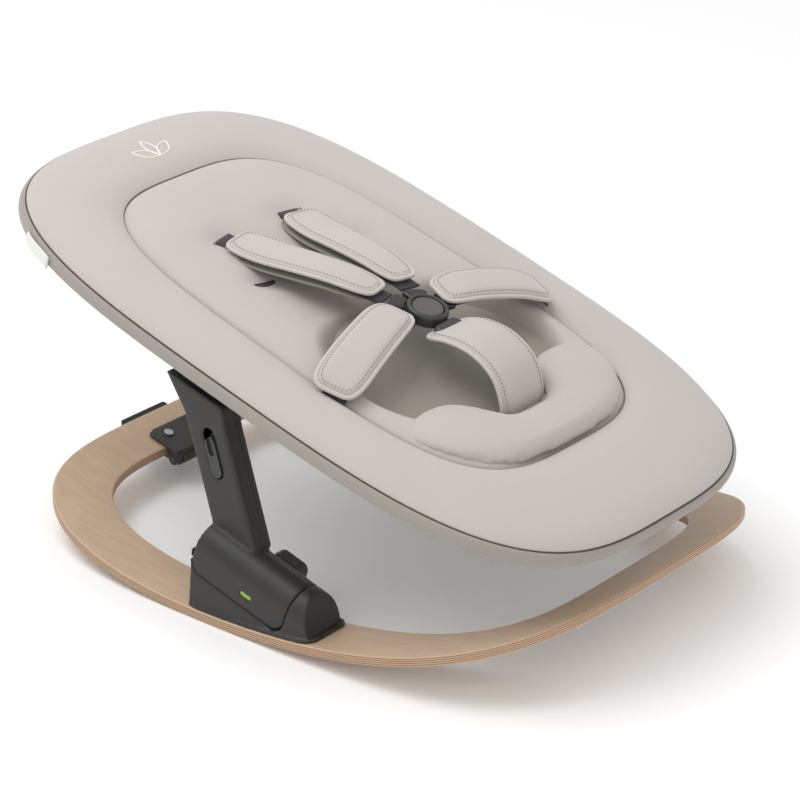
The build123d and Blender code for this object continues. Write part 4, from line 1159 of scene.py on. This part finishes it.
@dataclass
class Harness:
    """The five-point harness."""

    shoulder_profile: tuple = ((0, 17), (40, 22), (80, 31), (120, 39), (162, 43))
    shoulder_web: tuple = (
        (0, 10.3),
        (16, 10.8),
        (54, 15.3),
        (94, 24.4),
        (134, 32.4),
        (176, 36.6),
        (186, 37.3),
    )
    # Heights of the leaves under the shoulder pads, whose darker cloth is painted shade under the pads.
    flap_profile: tuple = ((0, 10), (40, 13), (80, 21), (120, 29.5), (158, 34))
    waist_profile: tuple = ((0, 43), (35, 45), (85, 38), (120, 27), (134, 20))
    waist_web: tuple = ((0, 36), (28, 37), (78, 30), (112, 19), (128, 6))
    crotch_profile: tuple = ((0, 34), (26, 46), (56, 50), (84, 41), (101, 20), (107, -4))
    crotch_web: tuple = ((0, 36), (22, 40), (50, 43), (76, 34), (92, 12), (96, -8))

    def pads(self) -> list[HarnessPad]:
        """The five pads, where they lie."""
        made = []
        for side, word in ((-1, "right"), (1, "left")):
            shoulder = Strap((-150, side * 46), (10, side * 20), self.shoulder_profile)
            made.append(HarnessPad(f"shoulder_pad_{word}", shoulder, 50, 38, thickness=10.0))
            waist = Strap((44, side * 30), (79, side * 158), self.waist_profile)
            made.append(HarnessPad(f"waist_pad_{word}", waist, 44, 50, thickness=12.0, piping=2.4))
        crotch = Strap((80, 0), (187, 0), self.crotch_profile)
        made.append(HarnessPad("crotch_pad", crotch, 66, 62, power=8.0))
        return made

    def flaps(self) -> list[HarnessPad]:
        """Thin leaves under the shoulder pads, round their webbing, in a darker cloth that paints the shade
        under the pads.
        """
        made = []
        for side, word in ((-1, "right"), (1, "left")):
            course = Strap((-152, side * 46), (6, side * 20), self.flap_profile)
            # These leaves wear a darker cloth: painted shade under the shoulder pads.
            made.append(HarnessPad(f"shoulder_flap_{word}", course, 52, 38, thickness=3.6, piping=1.3))
        return made

    def straps(self) -> list[Webbing]:
        """The five lengths of webbing, where they lie."""
        made = []
        for side, word in ((-1, "right"), (1, "left")):
            shoulder = Strap((-164, side * 48.3), (20, side * 18.4), self.shoulder_web)
            made.append(Webbing(f"shoulder_webbing_{word}", shoulder))
            waist = Strap((50, side * 41), (84, side * 168), self.waist_web)
            made.append(Webbing(f"waist_webbing_{word}", waist))
        made.append(Webbing("crotch_webbing", Strap((90, 0), (186, 0), self.crotch_web)))
        return made


# ---------------------------------------------------------------- label


@dataclass
class SideLabel:
    """A small blank folded tab sewn under the edge seam."""

    u: float = -262.0
    length: float = 44.0
    drop: float = 13.0
    rim_half_length: float = 370.0
    rim_half_width: float = 223.0
    rim_power: float = 3.5

    def build(self, cloth: bpy.types.Material) -> bpy.types.Object:
        """Builds the tab as a thin rounded loop of ribbon."""
        turn = np.linspace(0, 2 * np.pi, 24, endpoint=False)[None]
        depth, thick = superellipse(turn, 1.0, 1.0, 4.0)
        depth, thick = depth * self.drop / 2, thick * 0.9
        along = np.linspace(-0.5, 0.5, 12)[:, None] * self.length
        wave = 0.4 * np.sin(along / 7.0)
        inward = np.abs((self.u + along) / self.rim_half_length) ** self.rim_power
        reach = (1 - inward) ** (1 / self.rim_power)
        v = -self.rim_half_width * reach - 1.9 + thick + wave
        rings = SEAT.place(self.u + along + 0 * depth, v, -8.5 + depth)
        piece = closed_skin("label_tab_cloth", rings, rings[0].mean(0), rings[-1].mean(0), cloth)
        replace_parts(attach(piece, Body.SEAT.value), "label_tab")
        return piece


# ---------------------------------------------------------------- moulded shells


@dataclass
class MouldedShells:
    """The moulded plastic shells with their edges rounded and their inner corners blended.

    The voxel is in metres.
    """

    voxel: float = 0.0015
    passes: int = 5
    shells: dict[str, Body] = field(
        default_factory=lambda: {
            "leg_outer_shell_right": Body.LEGS,
            "leg_outer_shell_left": Body.LEGS,
            "leg_inner_shell_right": Body.LEGS,
            "leg_inner_shell_left": Body.LEGS,
            "foot_socket_right": Body.ROCKER,
            "foot_socket_left": Body.ROCKER,
            "stand_bracket": Body.ROCKER,
        }
    )

    def soften(self, name: str, body: Body, material: bpy.types.Material) -> bpy.types.Object:
        """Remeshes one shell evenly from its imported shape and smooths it.

        Args:
            name: the node that gives the shape.
            body: the body it rides on.
            material: its finish.

        Returns:
            The softened shell.
        """
        node = frame["nodes"][name]
        mesh = node.data.copy()
        mesh.transform(node.matrix_world)
        work = bmesh.new()
        work.from_mesh(mesh)
        bmesh.ops.remove_doubles(work, verts=work.verts, dist=1e-6)
        work.to_mesh(mesh)
        work.free()
        mesh.materials.clear()
        mesh.materials.append(material)
        piece = bpy.data.objects.new(f"{name}_moulded", mesh)
        bpy.context.scene.collection.objects.link(piece)
        remesh = piece.modifiers.new("remesh", "REMESH")
        remesh.mode = "VOXEL"
        remesh.voxel_size = self.voxel
        smooth = piece.modifiers.new("smooth", "SMOOTH")
        smooth.iterations = self.passes
        bake(piece)
        piece.data.shade_smooth()
        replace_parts(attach(piece, body.value), name)
        return piece

    def build(self, material: bpy.types.Material) -> list[bpy.types.Object]:
        """Softens every shell."""
        return [self.soften(name, body, material) for name, body in self.shells.items()]


# ---------------------------------------------------------------- studio


@dataclass
class Studio:
    """The floor, the lights and the camera."""

    eye: tuple = (1.8371, -2.1921, 1.4416)
    heading: tuple = (-0.5726, 0.6850, -0.4505)
    aside: float = 0.00685
    lift: float = 0.0437
    lens: float = 144.0

    def build(self) -> None:
        """Makes the floor, a bright even world, a large soft top light and the camera."""
        scene = bpy.context.scene
        scene.view_settings.view_transform = "Standard"
        size = 30.0
        corners = np.array([[-1, -1, 0], [1, -1, 0], [1, 1, 0], [-1, 1, 0]], float) * size
        pale = bpy.data.materials.new("pale_floor")
        pale.use_nodes = True
        pale.node_tree.nodes["Principled BSDF"].inputs["Base Color"].default_value = (0.96, 0.96, 0.96, 1)
        pale.node_tree.nodes["Principled BSDF"].inputs["Roughness"].default_value = 0.9
        floor = make_piece("floor", corners, [(0, 1, 2, 3)], pale)
        world = bpy.data.worlds.new("studio")
        scene.world = world
        world.use_nodes = True
        world.node_tree.nodes["Background"].inputs["Color"].default_value = (1, 1, 1, 1)
        world.node_tree.nodes["Background"].inputs["Strength"].default_value = 0.8
        self.lamp("key", (-0.9, -0.6, 2.6), 2.2, 40.0)
        self.lamp("fill", (2.0, -2.0, 1.6), 2.0, 9.0)
        self.camera()

    def lamp(self, name: str, spot: tuple, size: float, power: float) -> None:
        """Adds a square soft light aimed at the seat."""
        data = bpy.data.lights.new(name, "AREA")
        data.size = size
        data.energy = power
        lamp = bpy.data.objects.new(name, data)
        lamp.location = spot
        lamp.rotation_euler = (Vector((0, 0, 0.2)) - Vector(spot)).to_track_quat("-Z", "Y").to_euler()
        bpy.context.scene.collection.objects.link(lamp)

    def camera(self) -> None:
        """Adds the camera, turned so that its middle falls on the framing's middle."""
        ahead = Vector(self.heading).normalized()
        right = ahead.cross(Vector((0, 0, 1))).normalized()
        up = right.cross(ahead)
        look = (ahead + right * self.aside + up * self.lift).normalized()
        data = bpy.data.cameras.new("camera")
        data.lens = self.lens
        data.sensor_width = 36.0
        data.clip_end = 100.0
        camera = bpy.data.objects.new("camera", data)
        side = look.cross(Vector((0, 0, 1))).normalized()
        turn = Matrix((side, side.cross(look), -look)).transposed()
        camera.matrix_world = Matrix.Translation(self.eye) @ turn.to_4x4()
        bpy.context.scene.collection.objects.link(camera)
        bpy.context.scene.camera = camera


# ---------------------------------------------------------------- the whole seat

FINISHES = {
    "fabric": FabricFinish("fabric", (0.725, 0.697, 0.68)),
    "underside": FabricFinish("underside", (0.60, 0.575, 0.545)),
    "edging": FabricFinish("edging", (0.76, 0.73, 0.71)),
    "thread": FabricFinish("thread", (0.47, 0.43, 0.405), sheen=0.0),
    "cream": FabricFinish("cream", (0.95, 0.92, 0.87)),
    "seat": FabricFinish("seat", (0.725, 0.697, 0.68), lining=(0.60, 0.57, 0.54)),
    "seam": FabricFinish("seam", (0.30, 0.27, 0.25), sheen=0.0),
    # Painted shade: a darker copy of the seat cloth for the leaves under the shoulder pads.
    "flap": FabricFinish("flap", (0.56, 0.545, 0.51)),
    "label": FabricFinish("label", (0.88, 0.87, 0.85)),
    "webbing": WebbingFinish("webbing", (0.17, 0.14, 0.155)),
    "charcoal": PlasticFinish("charcoal", (0.155, 0.148, 0.142), 0.48),
    "dark": PlasticFinish("dark", (0.20, 0.20, 0.19), 0.42),
    "gloss": PlasticFinish("gloss", (0.15, 0.125, 0.14), 0.26, 0.00002),
    "disc": PlasticFinish("disc", (0.33, 0.315, 0.30), 0.5),
    "green": PlasticFinish("green", (0.55, 0.72, 0.12), 0.3),
    "rubber": PlasticFinish("rubber", (0.13, 0.13, 0.13), 0.75, 0.0001),
    "steel": MetalFinish("steel", (0.72, 0.72, 0.73)),
    "coated": MetalFinish("coated", (0.30, 0.30, 0.31), 0.2, 0.45),
    "plywood": PlywoodFinish(
        "plywood", (0.755, 0.65, 0.545), (0.74, 0.61, 0.49), (0.33, 0.24, 0.18), 0.963, -0.016, 0.010
    ),
}

SLOT_FINISH = {
    "birch_plywood": "plywood",
    "charcoal_plastic": "charcoal",
    "dark_plastic": "dark",
    "button_plastic": "dark",
    "green_plastic": "green",
    "steel_screws": "steel",
    "coated_steel": "coated",
    "spring_steel": "steel",
    "rubber_foot": "rubber",
    "seat_fabric": "fabric",
    "underside_fabric": "underside",
    "harness_fabric": "fabric",
    "dark_webbing": "webbing",
    "label_fabric": "label",
}


def dress_frame(materials: dict[str, bpy.types.Material]) -> None:
    """Gives every CAD node the finish of its record slot."""
    for row in frame["record"]["subparts"]:
        node = frame["nodes"][row["node"]]
        node.data.materials.clear()
        node.data.materials.append(materials[SLOT_FINISH[row["material_slot"]]])


def main() -> None:
    """Builds the studio and every sub-assembly."""
    logging.basicConfig(level=logging.INFO, format="%(name)s: %(message)s")
    Studio().build()
    materials = {key: finish.build() for key, finish in FINISHES.items()}
    dress_frame(materials)
    made: list[bpy.types.Object] = []
    cushion = SeatCushion()
    made.append(cushion.build(materials["seat"]))
    made += cushion.trim(materials["thread"], materials["seam"], materials["cream"], materials["webbing"])
    made.append(UnderCover().build(materials["underside"]))
    made.append(LegRest().build(materials["fabric"]))
    harness = Harness()
    for pad in harness.pads():
        made += pad.build(materials["fabric"], materials["edging"], materials["thread"])
    # The leaves under the shoulder pads and their piping get the darker painted-shade cloth.
    for flap in harness.flaps():
        made += flap.build(materials["flap"], materials["flap"], materials["thread"])
    for strap in harness.straps():
        made.append(strap.build(materials["webbing"]))
    made += Buckle().build(materials["dark"], materials["disc"], materials["gloss"])
    made.append(SideLabel().build(materials["label"]))
    made += MouldedShells().build(materials["charcoal"])
    for piece in made:
        log.info("%s: %d faces", piece.name, len(piece.data.polygons))


if __name__ == "__main__":
    main()
